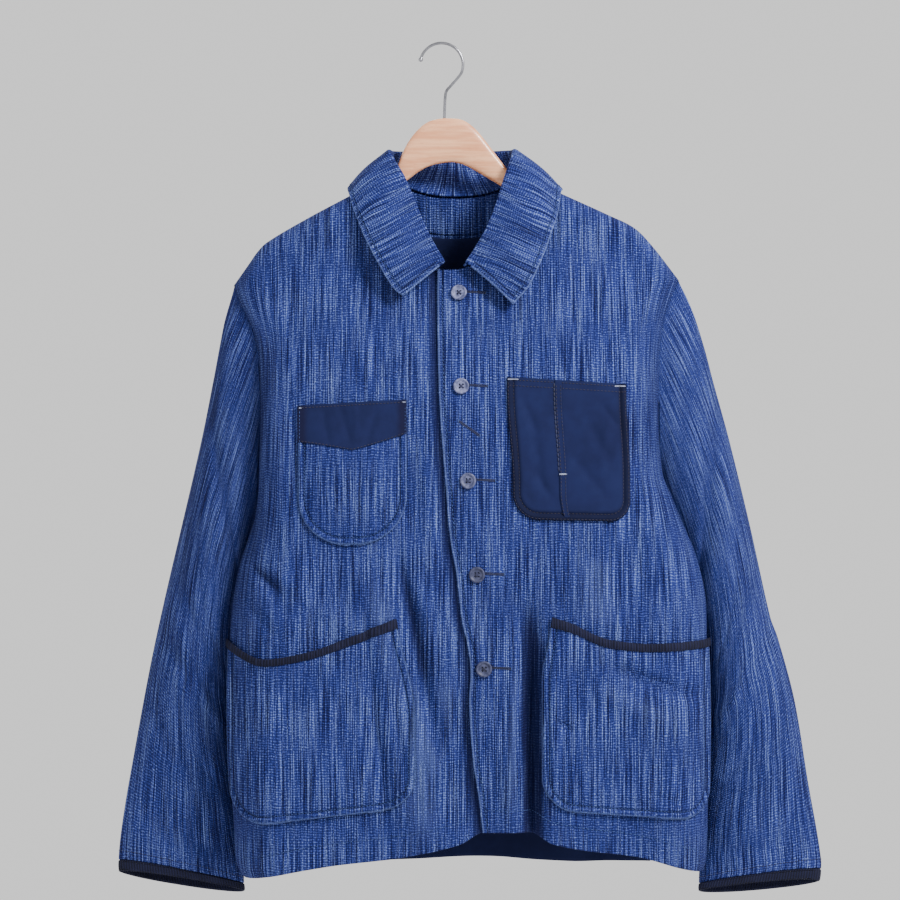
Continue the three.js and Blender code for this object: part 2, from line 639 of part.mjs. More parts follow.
// Pockets. Each outline runs in x from `from` to `to`, with elliptic bottom corners, and in z
// from `bottom` to `top`. `tilt` is the bottom's slope, and `mouth` shapes the top edge. `gap`
// lifts the pocket's rim off the curve of the front, and `puff` is how much more its middle stands.
const pockets = {
  chest_pocket_left: {
    from: (z) => 69.9 + 6 * rise(-380, -480, z),
    to: (z) => 197.4 + 3.5 * rise(-380, -470, z),
    bottom: -517,
    top: -368,
    corner: [28, 22],
    tilt: -0.02,
    mouth: (x) => -0.059 * (x - 133),
    gap: 1.1,
    puff: 1,
    material: navy,
  },
  chest_pocket_right: {
    from: () => -152.6,
    to: () => -37,
    bottom: -542.5,
    top: -392,
    corner: [52, 50],
    tilt: 0.03,
    mouth: (x) => 0.056 * (x + 96),
    gap: 2.3,
    puff: 2,
    material: slub,
  },
  hip_pocket_left: {
    from: (z) => 108 + 10 * rise(-700, -625, z),
    to: (z) => sideEdge.left(z) - 1.5,
    bottom: -830,
    top: -640,
    corner: [34, 32],
    tilt: -0.07,
    mouth: through([[117, 19], [140, 12], [170, -2], [195, -7], [221, -9], [287, -6]]),
    gap: 2.9,
    puff: 4,
    material: slub,
  },
  hip_pocket_right: {
    from: (z) => sideEdge.right(z) + 1.5,
    to: (z) => -27 - 23 * rise(-740, -622, z),
    bottom: -832,
    top: -645,
    corner: [40, 34],
    tilt: 0.12,
    mouth: through([[-232, 0], [-196, -19], [-176, -19.5], [-132, -10], [-90, 6], [-50, 22]]),
    gap: 2.5,
    puff: 4,
    material: slub,
  },
};
const POCKET_COLUMNS = 10;
const POCKET_ROWS = 9;

function cornerInset(radius, height) {
  const left = 1 - Math.min(height / radius, 1);
  return radius * (1 - Math.sqrt(1 - left * left));
}

// A point on the front under a pocket, at shares of its width and of its height.
function pocketPoint(pocket, across, up) {
  const rowHeight = (pocket.top - pocket.bottom) * up;
  const level = pocket.bottom + rowHeight;
  const from = pocket.from(level) + cornerInset(pocket.corner[0], rowHeight);
  const to = pocket.to(level) - cornerInset(pocket.corner[1], rowHeight);
  const x = lerp(from, to, across);
  const middle = (pocket.from(level) + pocket.to(level)) / 2;
  const z = level + pocket.tilt * (x - middle) * (1 - up) + pocket.mouth(x) * up ** 2;
  const y = x < frontEdge(z) ? underFrontY(x, z) : frontY(x, z);
  return point(x, y, z);
}

// The columns of a hip pocket stand closer at the side edge, where it rounds away, and at the
// inner edge. The list runs from the inner edge outwards.
const HIP_SHARES = [0, 0.07, 0.17, 0.3, 0.44, 0.58, 0.71, 0.82, 0.91, 0.97, 1];
function acrossShare(pocket, share) {
  const column = Math.round(share * POCKET_COLUMNS);
  if (pocket === pockets.hip_pocket_left) return HIP_SHARES[column];
  if (pocket === pockets.hip_pocket_right) return 1 - HIP_SHARES[POCKET_COLUMNS - column];
  return share;
}

const pocketLift = (pocket, across, up) => pocket.gap
  + pocket.puff * Math.sin(Math.PI * clamp(across, 0, 1)) * Math.sin(Math.PI * (0.12 + 0.8 * up));

function pocketLayer(pocket, columns, rows, place, lift, wall) {
  const base = makeGrid(columns, rows, (i, j) => {
    const [across, up] = place(i / columns, j / rows);
    return pocketPoint(pocket, acrossShare(pocket, across), up);
  });
  const normals = gridNormals(base);
  const at = (extra) => base.map((column, i) => column.map((p, j) => {
    const [across, up] = place(i / columns, j / rows);
    return p.clone().addScaledVector(normals[i][j], pocketLift(pocket, across, up) + extra);
  }));
  return wallGeometry(at(lift + wall), at(lift));
}

for (const [name, pocket] of Object.entries(pockets)) {
  const place = (across, up) => [across, up ** 1.4];
  add(name, pocketLayer(pocket, POCKET_COLUMNS, POCKET_ROWS, place, 0, POCKET_WALL), pocket.material);
}

// Trims on the pockets: the yoke's lower edge is a V, the bindings follow the mouths, and the
// pen slot is a band from top to bottom.
const TRIM_LIFT = POCKET_WALL + SEAM_GAP + 0.2;
const YOKE_SIDE = 0.735;
const YOKE_POINT = 0.66;
const yokePlace = (across, up) => {
  const lower = lerp(YOKE_POINT, YOKE_SIDE + 0.03 * across, Math.abs(2 * across - 1));
  return [across, lerp(lower, 1, up)];
};
add('chest_pocket_right_yoke',
  pocketLayer(pockets.chest_pocket_right, POCKET_COLUMNS, 3, yokePlace, TRIM_LIFT, TRIM_WALL), navy);
for (const side of ['left', 'right']) {
  const place = (across, up) => [across, lerp(0.965, 1.003, up)];
  add(`hip_pocket_${side}_binding`,
    pocketLayer(pockets[`hip_pocket_${side}`], POCKET_COLUMNS, 1, place, TRIM_LIFT, TRIM_WALL), navy);
}
const penPlace = (across, up) => [lerp(0.4, 0.458, across), lerp(0.02, 0.995, up)];
add('pen_slot_band', pocketLayer(pockets.chest_pocket_left, 1, 8, penPlace, TRIM_LIFT, TRIM_WALL), navy);

// A solid for cutting and joining, from a closed geometry.
function toManifold(geometry) {
  const bare = geometry.clone();
  bare.deleteAttribute('normal');
  bare.deleteAttribute('uv');
  const merged = mergeVertices(bare, 1e-4);
  return new wasm.Manifold(new wasm.Mesh({
    numProp: 3,
    vertProperties: new Float32Array(merged.attributes.position.array),
    triVerts: new Uint32Array(merged.index.array),
  }));
}

function fromManifold(solid) {
  const { vertProperties, triVerts } = solid.getMesh();
  const geometry = new THREE.BufferGeometry();
  geometry.setAttribute('position', new THREE.BufferAttribute(vertProperties, 3));
  geometry.setIndex(new THREE.BufferAttribute(triVerts, 1));
  geometry.computeVertexNormals();
  return geometry;
}

// A dished four-hole button, turned about Y, with its flat back at y = 0 and its face at -Y.
function buttonGeometry() {
  const face = [
    [0, 0], [0.86, 0], [1, 0.35], [1, 0.72], [0.9, 1], [0.76, 0.96], [0.64, 0.62], [0, 0.58],
  ];
  const profile = face.map(([r, h]) => new THREE.Vector2(r * BUTTON_RADIUS, h * BUTTON_THICK));
  const sides = 14;
  let solid = toManifold(new THREE.LatheGeometry(profile, sides));
  for (const [across, up] of [[1, 1], [-1, 1], [-1, -1], [1, -1]]) {
    const hole = new THREE.CylinderGeometry(BUTTON_HOLE_RADIUS, BUTTON_HOLE_RADIUS, 12, 6);
    hole.translate(across * BUTTON_HOLE_PITCH, 0, up * BUTTON_HOLE_PITCH);
    solid = solid.subtract(toManifold(hole));
  }
  return fromManifold(solid);
}

const BUTTON_LIFT = 0.9;
const buttonShape = buttonGeometry();
BUTTON_PLACES.forEach(([x, z], i) => {
  const step = 4;
  const surface = (dx, dz) => point(x + dx, frontY(x + dx, z + dz), z + dz);
  const alongX = surface(step, 0).sub(surface(-step, 0));
  const alongZ = surface(0, step).sub(surface(0, -step));
  const outwards = alongX.cross(alongZ).normalize();
  const button = add(`button_${i + 1}`, buttonShape.clone(), horn);
  button.quaternion.setFromUnitVectors(point(0, 1, 0), outwards);
  button.position.copy(surface(0, 0)).addScaledVector(outwards, BUTTON_LIFT);
});

// Hanger: one curved wooden arm each way from an arched head, and a wire hook on top.
const woodTop = through([
  [-194, -224], [-168, -207], [-117, -178.4], [-80, -160], [-62, -152], [-56, -148.5],
  [-50, -137], [-44, -122],
  [-39.5, -111.7], [-29.5, -96.8], [-16.9, -85.6], [-4, -81.2], [9, -80.4], [23, -82.3],
  [35.4, -90.6], [45.6, -102], [56.8, -116.8], [71.8, -136], [80, -144.5], [86, -150], [100, -154.5],
  [130, -167.3], [180.7, -190], [211, -205.6],
]);
const woodBottom = through([
  [-194, -246], [-117, -205], [-62, -168], [-39.5, -150], [-16.9, -134.4], [6.8, -128.7],
  [20.6, -130], [33, -135.6], [66.8, -155.7], [100, -175], [180, -215], [211, -229],
]);
const WOOD_STATIONS = [
  -194, -188, -160, -117, -80, -62, -56, -50, -39.5, -29.5, -16.9, -4, 9, 23, 35.4, 45.6,
  56.8, 71.8, 79, 86, 110, 145, 180, 206, 211,
];
const WOOD_SIDES = 12;
const WOOD_ROUNDNESS = 0.7;

function woodRing(x) {
  const top = woodTop(x);
  const bottom = woodBottom(x);
  const end = Math.min(x + 194, 211 - x) < 1 ? 0.72 : 1;
  const half = ((top - bottom) / 2) * end;
  const spread = lerp(WOOD_HALF_DEPTH, WOOD_HALF_DEPTH_AT_END, rise(40, 190, Math.abs(x - 8)));
  const bend = (value) => Math.sign(value) * Math.abs(value) ** WOOD_ROUNDNESS;
  return Array.from({ length: WOOD_SIDES }, (_, k) => {
    const angle = (2 * Math.PI * (k + 0.5)) / WOOD_SIDES;
    const y = spread * end * bend(Math.cos(angle));
    return point(x, y, (top + bottom) / 2 + half * bend(Math.sin(angle)));
  });
}
add('hanger_wood', loft(WOOD_STATIONS.map(woodRing)), beech);

// The wire runs in the hanger's plane: round the crown, then into the stem.
function hookPath() {
  const crown = [173, 160, 140, 120, 100, 80, 60, 40, 20, 0, -20, -38].map((turn) => point(
    HOOK_RADIUS * Math.cos(degToRad(turn)),
    0,
    WIRE_RADIUS - HOOK_RADIUS + HOOK_RADIUS * Math.sin(degToRad(turn)),
  ));
  const stem = [[10.5, -44.6], [5.4, -50.8], [4, -58], [3.5, -68], [3.1, -80.7]];
  return [...crown, ...stem.map(([x, z]) => point(x, 0, z))];
}

function hookRings(sides) {
  const path = hookPath();
  return path.map((p, i) => {
    const before = path[Math.max(i - 1, 0)];
    const after = path[Math.min(i + 1, path.length - 1)];
    const along = after.clone().sub(before).normalize();
    const side = point(along.z, 0, -along.x);
    return Array.from({ length: sides }, (_, k) => {
      const angle = (2 * Math.PI * k) / sides;
      const radius = i === 1 ? HOOK_TIP_RADIUS : WIRE_RADIUS;
      return p.clone()
        .addScaledVector(side, radius * Math.cos(angle))
        .add(point(0, radius * Math.sin(angle), 0));
    });
  });
}
add('hanger_hook', loft(hookRings(8)), steel);

export default jacket;
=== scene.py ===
"""A patched indigo work jacket on a wooden hanger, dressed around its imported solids.

Shapes are worked out in millimetres, +Z up, with the wearer's left at +X and the front at -Y.
They become metres when a mesh is made.
"""
import json
import logging
import math
from collections.abc import Callable, Sequence
from dataclasses import dataclass, field
from enum import Enum

import bpy
import numpy as np
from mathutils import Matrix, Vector
from mathutils.bvhtree import BVHTree

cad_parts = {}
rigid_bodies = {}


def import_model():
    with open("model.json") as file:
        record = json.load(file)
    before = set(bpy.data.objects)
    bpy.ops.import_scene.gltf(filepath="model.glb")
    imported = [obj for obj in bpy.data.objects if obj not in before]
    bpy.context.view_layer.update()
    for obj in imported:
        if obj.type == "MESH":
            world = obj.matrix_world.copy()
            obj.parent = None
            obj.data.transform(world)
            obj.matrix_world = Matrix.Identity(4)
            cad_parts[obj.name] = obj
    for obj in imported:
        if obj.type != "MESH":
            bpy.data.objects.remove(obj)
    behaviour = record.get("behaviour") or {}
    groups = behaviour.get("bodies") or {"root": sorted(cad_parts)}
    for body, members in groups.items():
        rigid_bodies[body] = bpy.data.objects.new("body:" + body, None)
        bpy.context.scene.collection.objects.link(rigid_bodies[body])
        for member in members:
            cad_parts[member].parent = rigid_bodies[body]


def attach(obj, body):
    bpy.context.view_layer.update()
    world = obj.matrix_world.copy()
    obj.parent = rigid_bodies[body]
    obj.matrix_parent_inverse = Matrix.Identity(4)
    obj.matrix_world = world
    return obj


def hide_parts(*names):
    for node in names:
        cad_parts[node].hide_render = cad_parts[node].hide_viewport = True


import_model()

logging.basicConfig(level=logging.INFO, format="%(message)s")
LOG = logging.getLogger("jacket")

Array = np.ndarray
Pair = tuple[float, float]
Curve = Callable[[Array], Array]
Material = bpy.types.Material
Piece = bpy.types.Object
Tree = bpy.types.NodeTree
Node = bpy.types.Node
Socket = bpy.types.NodeSocket

MM = 0.001
BODY = "root"
FAR = 400.0  # a distance in mm at which no seam has an effect
NO_GROOVE = -50.0  # in place of a groove's distance from the seam


class Side(Enum):
    """The wearer's sides."""

    LEFT = "left"
    RIGHT = "right"

    @property
    def outwards(self) -> int:
        """The sign of X away from the body's middle."""
        return 1 if self is Side.LEFT else -1


def through(knots: Sequence[Pair]) -> Curve:
    """Makes a smooth curve through knots, level beyond both ends.

    Each span is a cubic whose end slopes are those of the chord between the two neighbours.

    Args:
        knots: Pairs of place and value, in rising order of place.

    Returns:
        A function from an array of places to an array of values.
    """
    at, value = np.array(knots, float).T
    before = np.maximum(np.arange(len(at)) - 1, 0)
    after = np.minimum(np.arange(len(at)) + 1, len(at) - 1)
    slope = (value[after] - value[before]) / (at[after] - at[before])

    def curve(place: Array) -> Array:
        here = np.clip(np.asarray(place, float), at[0], at[-1])
        i = np.clip(np.searchsorted(at, here), 1, len(at) - 1)
        span = at[i] - at[i - 1]
        t = (here - at[i - 1]) / span
        s = 1 - t
        ends = value[i - 1] * (1 + 2 * t) * s * s + value[i] * (3 - 2 * t) * t * t
        return ends + (slope[i - 1] * s - slope[i] * t) * span * s * t

    return curve


def rise(start: Array, end: Array, value: Array) -> Array:
    """A smooth step from 0 at start to 1 at end."""
    share = np.clip((value - start) / (end - start), 0, 1)
    return share * share * (3 - 2 * share)


def bell(distance: Array, half: float) -> Array:
    """A bell curve of a distance, 1 at its middle."""
    return np.exp(-((distance / half) ** 2))


def blend(a: Array, b: Array, share: Array) -> Array:
    """The value at a share of the way from a to b."""
    return a + (b - a) * share


def unit(vectors: Array) -> Array:
    """Vectors along the last axis, brought to length 1."""
    return vectors / np.maximum(np.linalg.norm(vectors, axis=-1, keepdims=True), 1e-9)


def turns(count: int) -> Array:
    """Even angles of a full turn, the last one left out."""
    return np.linspace(0, 2 * np.pi, count, endpoint=False)


def run_lengths(points: Array, axis: int, kept: Sequence[int] = (0, 1, 2)) -> Array:
    """How far each point of a grid lies along its line, from the line's first point.

    Args:
        points: Grid of points, (columns, rows, 3).
        axis: The grid's axis that the lines follow.
        kept: The coordinates that count towards the length.

    Returns:
        Lengths on the grid, (columns, rows).
    """
    steps = np.linalg.norm(np.diff(points[..., list(kept)], axis=axis), axis=-1)
    start = np.zeros_like(np.take(steps, [0], axis=axis))
    return np.concatenate([start, np.cumsum(steps, axis=axis)], axis=axis)


@dataclass(frozen=True)
class Fold:
    """A fold that runs down from one height to another along a leaning line."""

    at: float
    lean: float
    start: float
    end: float
    half: float
    deep: float

    def depth(self, x: Array, z: Array) -> Array:
        """A bell across the fold's line, fading in and out over a quarter of its length."""
        line = self.at + self.lean * (self.start - z)
        fade = (self.start - self.end) * 0.25
        length = rise(0, fade, self.start - z) * rise(0, fade, z - self.end)
        return self.deep * length * bell(x - line, self.half)


@dataclass(frozen=True)
class Crease:
    """A soft trough between two places of the front view; a ridge where it is negative."""

    from_x: float
    from_z: float
    to_x: float
    to_z: float
    half: float
    deep: float

    def depth(self, x: Array, z: Array) -> Array:
        """A bell of the distance from the line, times a smooth fade towards both of its ends."""
        along = np.array([self.to_x - self.from_x, self.to_z - self.from_z])
        length = np.hypot(*along)
        along = along / length
        x, z = x - self.from_x, z - self.from_z
        run, off = (x * along[0] + z * along[1]) / length, x * along[1] - z * along[0]
        return self.deep * rise(0, 0.35, run) * rise(1, 0.65, run) * bell(off, self.half)


def listed(kind: type, table: Sequence[tuple]) -> list:
    """Folds or creases from rows of their values, in the order of their fields."""
    return [kind(*row) for row in table]


FRONT_FOLDS = listed(Fold, [
    (97, 0, -585, -930, 11, 13), (-31, 0.02, -420, -560, 13, 4), (-48, 0.24, -520, -860, 13, 5),
    (-84, 0.22, -540, -900, 20, -4), (-196, 0.6, -562, -625, 10, 4), (-168, 0.1, -330, -560, 12, 3),
    (212, -0.02, -330, -640, 14, 3), (160, 0.1, -545, -640, 22, -3), (-6, 0.1, -670, -800, 24, -5),
])
FRONT_CREASES = listed(Crease, [
    (-186, -300, -196, -470, 7, 2.2), (-170, -285, -176, -420, 9, -1.4),
    (-205, -560, -118, -634, 7, 2.6), (-190, -590, -60, -640, 9, -1.6),
    (88, -560, 100, -960, 6, 9.0), (84, -600, 70, -880, 7, -4.0), (-52, -520, 4, -800, 5, 6.5),
    (-34, -540, 16, -780, 6, -3.0), (-86, -560, -52, -880, 7, 4.4),
    (-216, -548, -160, -606, 5, 3.0), (-220, -590, -168, -650, 5, 3.2),
    (-206, -470, -196, -590, 5, 2.6), (-30, -560, 14, -720, 7, -1.6),
    (-70, -640, -20, -850, 7, 1.8), (-112, -560, -96, -640, 8, 1.6), (226, -290, 224, -470, 7, 2.4),
    (211, -300, 206, -440, 9, -1.4), (262, -560, 180, -615, 8, 2.2), (222, -500, 244, -640, 8, 1.8),
    (60, -500, 84, -650, 9, 1.8), (128, -540, 116, -640, 7, 1.6), (40, -690, 60, -850, 8, 2.0),
    (-150, -700, -166, -850, 10, 1.2), (60, -300, 56, -380, 10, 1.2),
    (-70, -300, -60, -390, 11, 1.2), (210, -840, 214, -890, 10, 1.6),
    (-110, -850, -104, -890, 9, 1.4),
])
BACK_FOLDS = listed(Fold, [
    (-95, -0.04, -430, -960, 24, 9), (128, 0.05, -470, -960, 22, 10),
    (20, 0.02, -300, -960, 40, -4), (215, 0.1, -560, -960, 18, 6),
])
BACK_CREASES = listed(Crease, [
    (-186, -300, -150, -520, 9, 2.4), (226, -300, 190, -520, 9, 2.4),
    (-150, -240, 150, -250, 12, 1.6), (-60, -330, -110, -560, 10, 1.8),
    (90, -340, 150, -560, 10, 1.8), (-190, -560, -60, -640, 9, 2.0), (250, -570, 110, -660, 9, 2.0),
    (-30, -600, -60, -860, 10, 2.2), (60, -620, 70, -880, 10, 2.2),
])


def unevenness(x: Array, z: Array) -> Array:
    """Small waves that a worn cloth never loses: four crossed sines, 1.2 mm at most."""
    broad = np.sin(x / 21 + 0.7 * np.sin(z / 47)) * np.sin(z / 33 + 0.9 * np.sin(x / 39))
    fine = np.sin(x / 7.3 + z / 61) * np.sin(z / 11.7 - x / 43)
    return 0.95 * broad + 0.25 * fine


@dataclass
class BodyForm:
    """The hanging body of the jacket: its outline from the front and its depth.

    Attributes:
        roll: Radius of the cloth's turn over the hanger.
        roll_limit: Below the shoulder line, where the body reaches its full depth.
        lap: How far the lower front lies behind the upper one.
        lap_width: Cloth of the lower front that the upper one covers.
    """

    roll: float = 22
    roll_limit: float = 190
    lap: float = 3.6
    lap_width: float = 28
    side_seam_y: float = -14
    underarm_y: float = -6
    underarm_z: float = -516.5
    shoulder_end_z: float = -262
    front_armhole_swell: float = -30
    back_armhole_swell: float = 36

    side_left: Curve = through([
        (-898, 283), (-885, 287), (-820, 289), (-712, 290), (-647, 288), (-597, 286),
        (-551, 275), (-520, 262), (-489, 248), (-470, 240), (-431, 235), (-360, 234.5),
        (-322, 237), (-298, 242), (-277, 249.5), (-257, 258.5),
    ])
    side_right: Curve = through([
        (-905, -213), (-890, -222), (-850, -225), (-788, -229), (-720, -231), (-656, -230),
        (-613, -227.5), (-568, -220), (-534, -209), (-497, -200), (-457, -197), (-407, -195),
        (-360, -196), (-325, -200), (-301, -209), (-278, -220.5), (-262, -226),
    ])
    shoulder_line: Curve = through([
        (-226, -262.5), (-219.6, -253.4), (-209.4, -238.9), (-200.7, -226.5), (-190.4, -216),
        (-146.6, -190), (-103, -166.7), (-60, -143.5), (-20, -124), (15, -118), (50, -125),
        (90, -144.3), (130.3, -162.6), (180.7, -185.5), (211.3, -201), (232.2, -223),
        (258.5, -257),
    ])
    front_edge: Curve = through([
        (-849, 44), (-807.7, 39), (-772.7, 33.7), (-710.2, 29.5), (-678.4, 30.8), (-649.8, 28),
        (-624.3, 22), (-570.3, 15.5), (-537.4, 9.5), (-473.8, 4), (-420.8, -0.2),
        (-374.2, -2.9), (-283, -4.5), (-243, -4.5),
    ])
    hem_left: Curve = through([
        (36, -848.5), (60, -848.5), (97, -850.4), (117.4, -860.5), (156.6, -868.1),
        (189.7, -871.7), (217.6, -876.7), (249.6, -886.2), (287, -898),
    ])
    hem_right: Curve = through([
        (-222, -905), (-202.5, -900.8), (-118, -884.5), (-39.4, -874.8), (19.4, -861.2),
        (44.8, -848), (90, -846),
    ])
    hem_back: Curve = through([
        (-222, -905), (-180, -902), (-42, -897), (50, -893.8), (123, -898), (287, -898),
    ])
    front_depth: Curve = through([
        (-900, 84), (-750, 90), (-600, 88), (-450, 78), (-350, 64), (-262, 46), (-150, 26),
    ])
    back_depth: Curve = through([
        (-900, 70), (-700, 66), (-500, 60), (-350, 54), (-262, 46), (-150, 30),
    ])
    side_round: Curve = through([
        (-905, 50), (-650, 58), (-540, 48), (-470, 38), (-330, 34), (-262, 30),
    ])

    def seam_y(self, z: Array, swell: float) -> Array:
        """How far forward or back the side seam, and above it the armhole's seam, stands.

        Below the underarm it goes over smoothly to the side seam's place; above it, it swells out
        as a power of a sine between the underarm and the shoulder's end.
        """
        low = blend(self.underarm_y, self.side_seam_y, rise(0, 100, self.underarm_z - z))
        share = np.clip((z - self.underarm_z) / (self.shoulder_end_z - self.underarm_z), 0, 1)
        high = self.underarm_y * (1 - share) + swell * np.sin(np.pi * share).clip(0) ** 0.8
        return np.where(z <= self.underarm_z, low, high)

    def fold_depth(self, x: Array, z: Array, front: bool) -> Array:
        """How deep the folds and creases sink a place of the front view."""
        marks = FRONT_FOLDS + FRONT_CREASES if front else BACK_FOLDS + BACK_CREASES
        return sum(mark.depth(x, z) for mark in marks)

    def shade(self, x: Array, z: Array, front: bool) -> Array:
        """Painted shade: how deep the folds and creases lie, plus a band beside the armhole's and
        the side's seams.
        """
        from_edge = np.minimum(self.side_left(z) - x, x - self.side_right(z))
        return self.fold_depth(x, z, front) + 3.5 * bell(from_edge, 11)

    def depth_y(self, x: Array, z: Array, front: bool) -> Array:
        """Depth of the body at a place of its front view.

        The cloth turns over the shoulder line on a quarter circle and towards the side edge on a
        quarter ellipse, and folds, creases and small waves are taken off between them.
        """
        depth_at, swell = (
            (self.front_depth, self.front_armhole_swell) if front
            else (self.back_depth, self.back_armhole_swell)
        )
        outwards = -1 if front else 1
        below = np.maximum(self.shoulder_line(x) - z, 0)
        turn = 1 - np.minimum(below / self.roll, 1)
        left, right = self.side_left(z), self.side_right(z)
        across = (2 * x - left - right) / (left - right)
        depth = self.roll * np.sqrt(1 - turn * turn)
        full = (depth_at(z) - self.roll) * (1 - 0.1 * across * across)
        depth = depth + full * rise(0, self.roll_limit, below)
        sunk = self.fold_depth(x, z, front) + unevenness(x, z)
        depth = depth - sunk * rise(0, 60, below)
        from_edge = np.maximum(np.minimum(left - x, x - right), 0)
        rounding = 1 - np.minimum(from_edge / self.side_round(z), 1)
        edge = self.seam_y(z, swell)
        return edge + (outwards * depth - edge) * np.sqrt(1 - rounding * rounding)

    def front_y(self, x: Array, z: Array) -> Array:
        """Depth of the front."""
        return self.depth_y(x, z, True)

    def back_y(self, x: Array, z: Array) -> Array:
        """Depth of the back."""
        return self.depth_y(x, z, False)

    def under_front_y(self, x: Array, z: Array) -> Array:
        """Depth of the lower front, which dips smoothly behind the upper one's free edge."""
        slot = bell(z + 745, 38)
        dip = rise(-20 - 8 * slot, -3, x - self.front_edge(z))
        return self.front_y(x, z) + (self.lap + 3 * slot) * dip


FORM = BodyForm()
WALL = 2.4  # of the fronts, the back and the sleeves
TRIM_WALL = 1.2  # of bindings, the yoke, the pen slot's band and the inner layers
POCKET_WALL = 2.0
SEAM_GAP = 0.3  # between the fronts and the back
NECK_COLUMNS = 5  # from a panel's inner edge to its neck column
SHOULDER_SHARES = np.array([0, 0.08, 0.19, 0.33, 0.49, 0.65, 0.79, 0.895, 0.967, 1])
COLUMNS = NECK_COLUMNS + len(SHOULDER_SHARES) - 1
ROWS = 27  # from the hem to the shoulder
ROLL_ROWS = 3  # the last of them, on the turn over the shoulder
UNDERARM_ROW = 15  # where the side seam ends and the armhole begins
NECK_CENTRE_X = 15
NECK_X = {Side.LEFT: 90.0, Side.RIGHT: -60.0}
NECK_END_X = {Side.LEFT: 20.0, Side.RIGHT: 1.0}
NECK_FRONT_Z = -247
NECK_BACK_Z = -166


@dataclass
class Panel:
    """One half of the body's cut: its edges in the front view, and its depth.

    A place on it is a column from its inner edge, 0, past the neck's column to its outer edge,
    and a row from the hem, 0, to the neckline or the shoulder.
    """

    inner: Curve
    outer: Curve
    neck: Curve
    hem: Curve
    top: Curve
    depth: Callable[[Array, Array], Array]
    seam: float

    def row_z(self, row: Array, bottom: Array, top: Array) -> Array:
        """Rows are even up to the turn over the shoulder, and share its angle on the turn."""
        left = ROWS - row
        turned = top - FORM.roll * (1 - np.cos(np.pi / 2 * np.minimum(left / ROLL_ROWS, 1)))
        straight = blend(bottom, top - FORM.roll, row / (ROWS - ROLL_ROWS))
        return np.where(left < ROLL_ROWS, turned, straight)

    def column_x(self, column: Array, z: Array) -> Array:
        """Columns follow a sine from the inner edge to the neck, and shares from there out."""
        inner, outer, neck = self.inner(z), self.outer(z), self.neck(z)
        near = np.sin(np.pi / 2 * np.minimum(column / NECK_COLUMNS, 1))
        steps = np.arange(len(SHOULDER_SHARES))
        far = np.interp(column - NECK_COLUMNS, steps, SHOULDER_SHARES)
        return np.where(column <= NECK_COLUMNS, blend(inner, neck, near), blend(neck, outer, far))

    def points(self, column: Array, row: Array) -> Array:
        """Places of columns and rows, found by going to and fro between x and z."""
        column, row = np.broadcast_arrays(column, row)
        z = -900 + 650 * row / ROWS
        x = self.column_x(column, z)
        for _ in range(16):
            z = self.row_z(row, self.hem(x), self.top(x))
            x = self.column_x(column, z)
        return np.stack([x, self.depth(x, z) + self.seam, z], axis=-1)


def front_neck_z(side: Side, x: Array) -> Array:
    """The neckline of a front: a rounded fall of power 1.5 from the shoulder to the centre."""
    reach = np.clip((x - NECK_END_X[side]) / (NECK_X[side] - NECK_END_X[side]), 0, 1)
    high = FORM.shoulder_line(np.array(NECK_X[side]))
    return high + (NECK_FRONT_Z - high) * (1 - reach**1.5) ** (1 / 1.5)


def back_neck_z(x: Array) -> Array:
    """The neckline of the back: level at its centre and rising by a power of 2.4."""
    reach = np.abs(x - NECK_CENTRE_X) / (NECK_X[Side.LEFT] - NECK_CENTRE_X)
    ends = np.where(x < NECK_CENTRE_X, NECK_X[Side.RIGHT], NECK_X[Side.LEFT])
    rising = NECK_BACK_Z + (FORM.shoulder_line(ends) - NECK_BACK_Z) * np.minimum(reach, 1) ** 2.4
    return np.where(reach >= 1, FORM.shoulder_line(x), rising)


def front_top(side: Side) -> Curve:
    """The top line of a front: its neckline, then the shoulder line."""
    sign = side.outwards

    def top(x: Array) -> Array:
        on_shoulder = sign * (x - NECK_X[side]) >= 0
        return np.where(on_shoulder, FORM.shoulder_line(x), front_neck_z(side, x))

    return top


def back_panel(side: Side) -> Panel:
    """A half of the back."""
    low_x, outer = (110, FORM.side_left) if side is Side.LEFT else (-50, FORM.side_right)
    return Panel(
        inner=lambda z: blend(NECK_CENTRE_X, 30, rise(-200, -900, z)),
        outer=outer,
        neck=through([(-900, low_x), (-300, NECK_X[side])]),
        hem=FORM.hem_back,
        top=back_neck_z,
        depth=FORM.back_y,
        seam=SEAM_GAP / 2,
    )


PANELS = {
    "front_left": Panel(
        inner=FORM.front_edge,
        outer=FORM.side_left,
        neck=through([(-860, 97), (-580, 97), (-300, NECK_X[Side.LEFT])]),
        hem=FORM.hem_left,
        top=front_top(Side.LEFT),
        depth=FORM.front_y,
        seam=-SEAM_GAP / 2,
    ),
    "front_right": Panel(
        inner=lambda z: FORM.front_edge(z) + FORM.lap_width,
        outer=FORM.side_right,
        neck=through([(-860, -30), (-600, -45), (-300, NECK_X[Side.RIGHT])]),
        hem=FORM.hem_right,
        top=front_top(Side.RIGHT),
        depth=FORM.under_front_y,
        seam=-SEAM_GAP / 2,
    ),
    "back_left": back_panel(Side.LEFT),
    "back_right": back_panel(Side.RIGHT),
}


def fine_columns(inner: int, outer: int) -> Array:
    """Column places of a fine grid, closer together towards the side edge, where it rounds."""
    near = np.linspace(0, NECK_COLUMNS, inner, endpoint=False)
    share = np.sin(np.pi / 2 * np.linspace(0, 1, outer + 1))
    steps = np.arange(len(SHOULDER_SHARES))
    return np.concatenate([near, NECK_COLUMNS + np.interp(share, SHOULDER_SHARES, steps)])


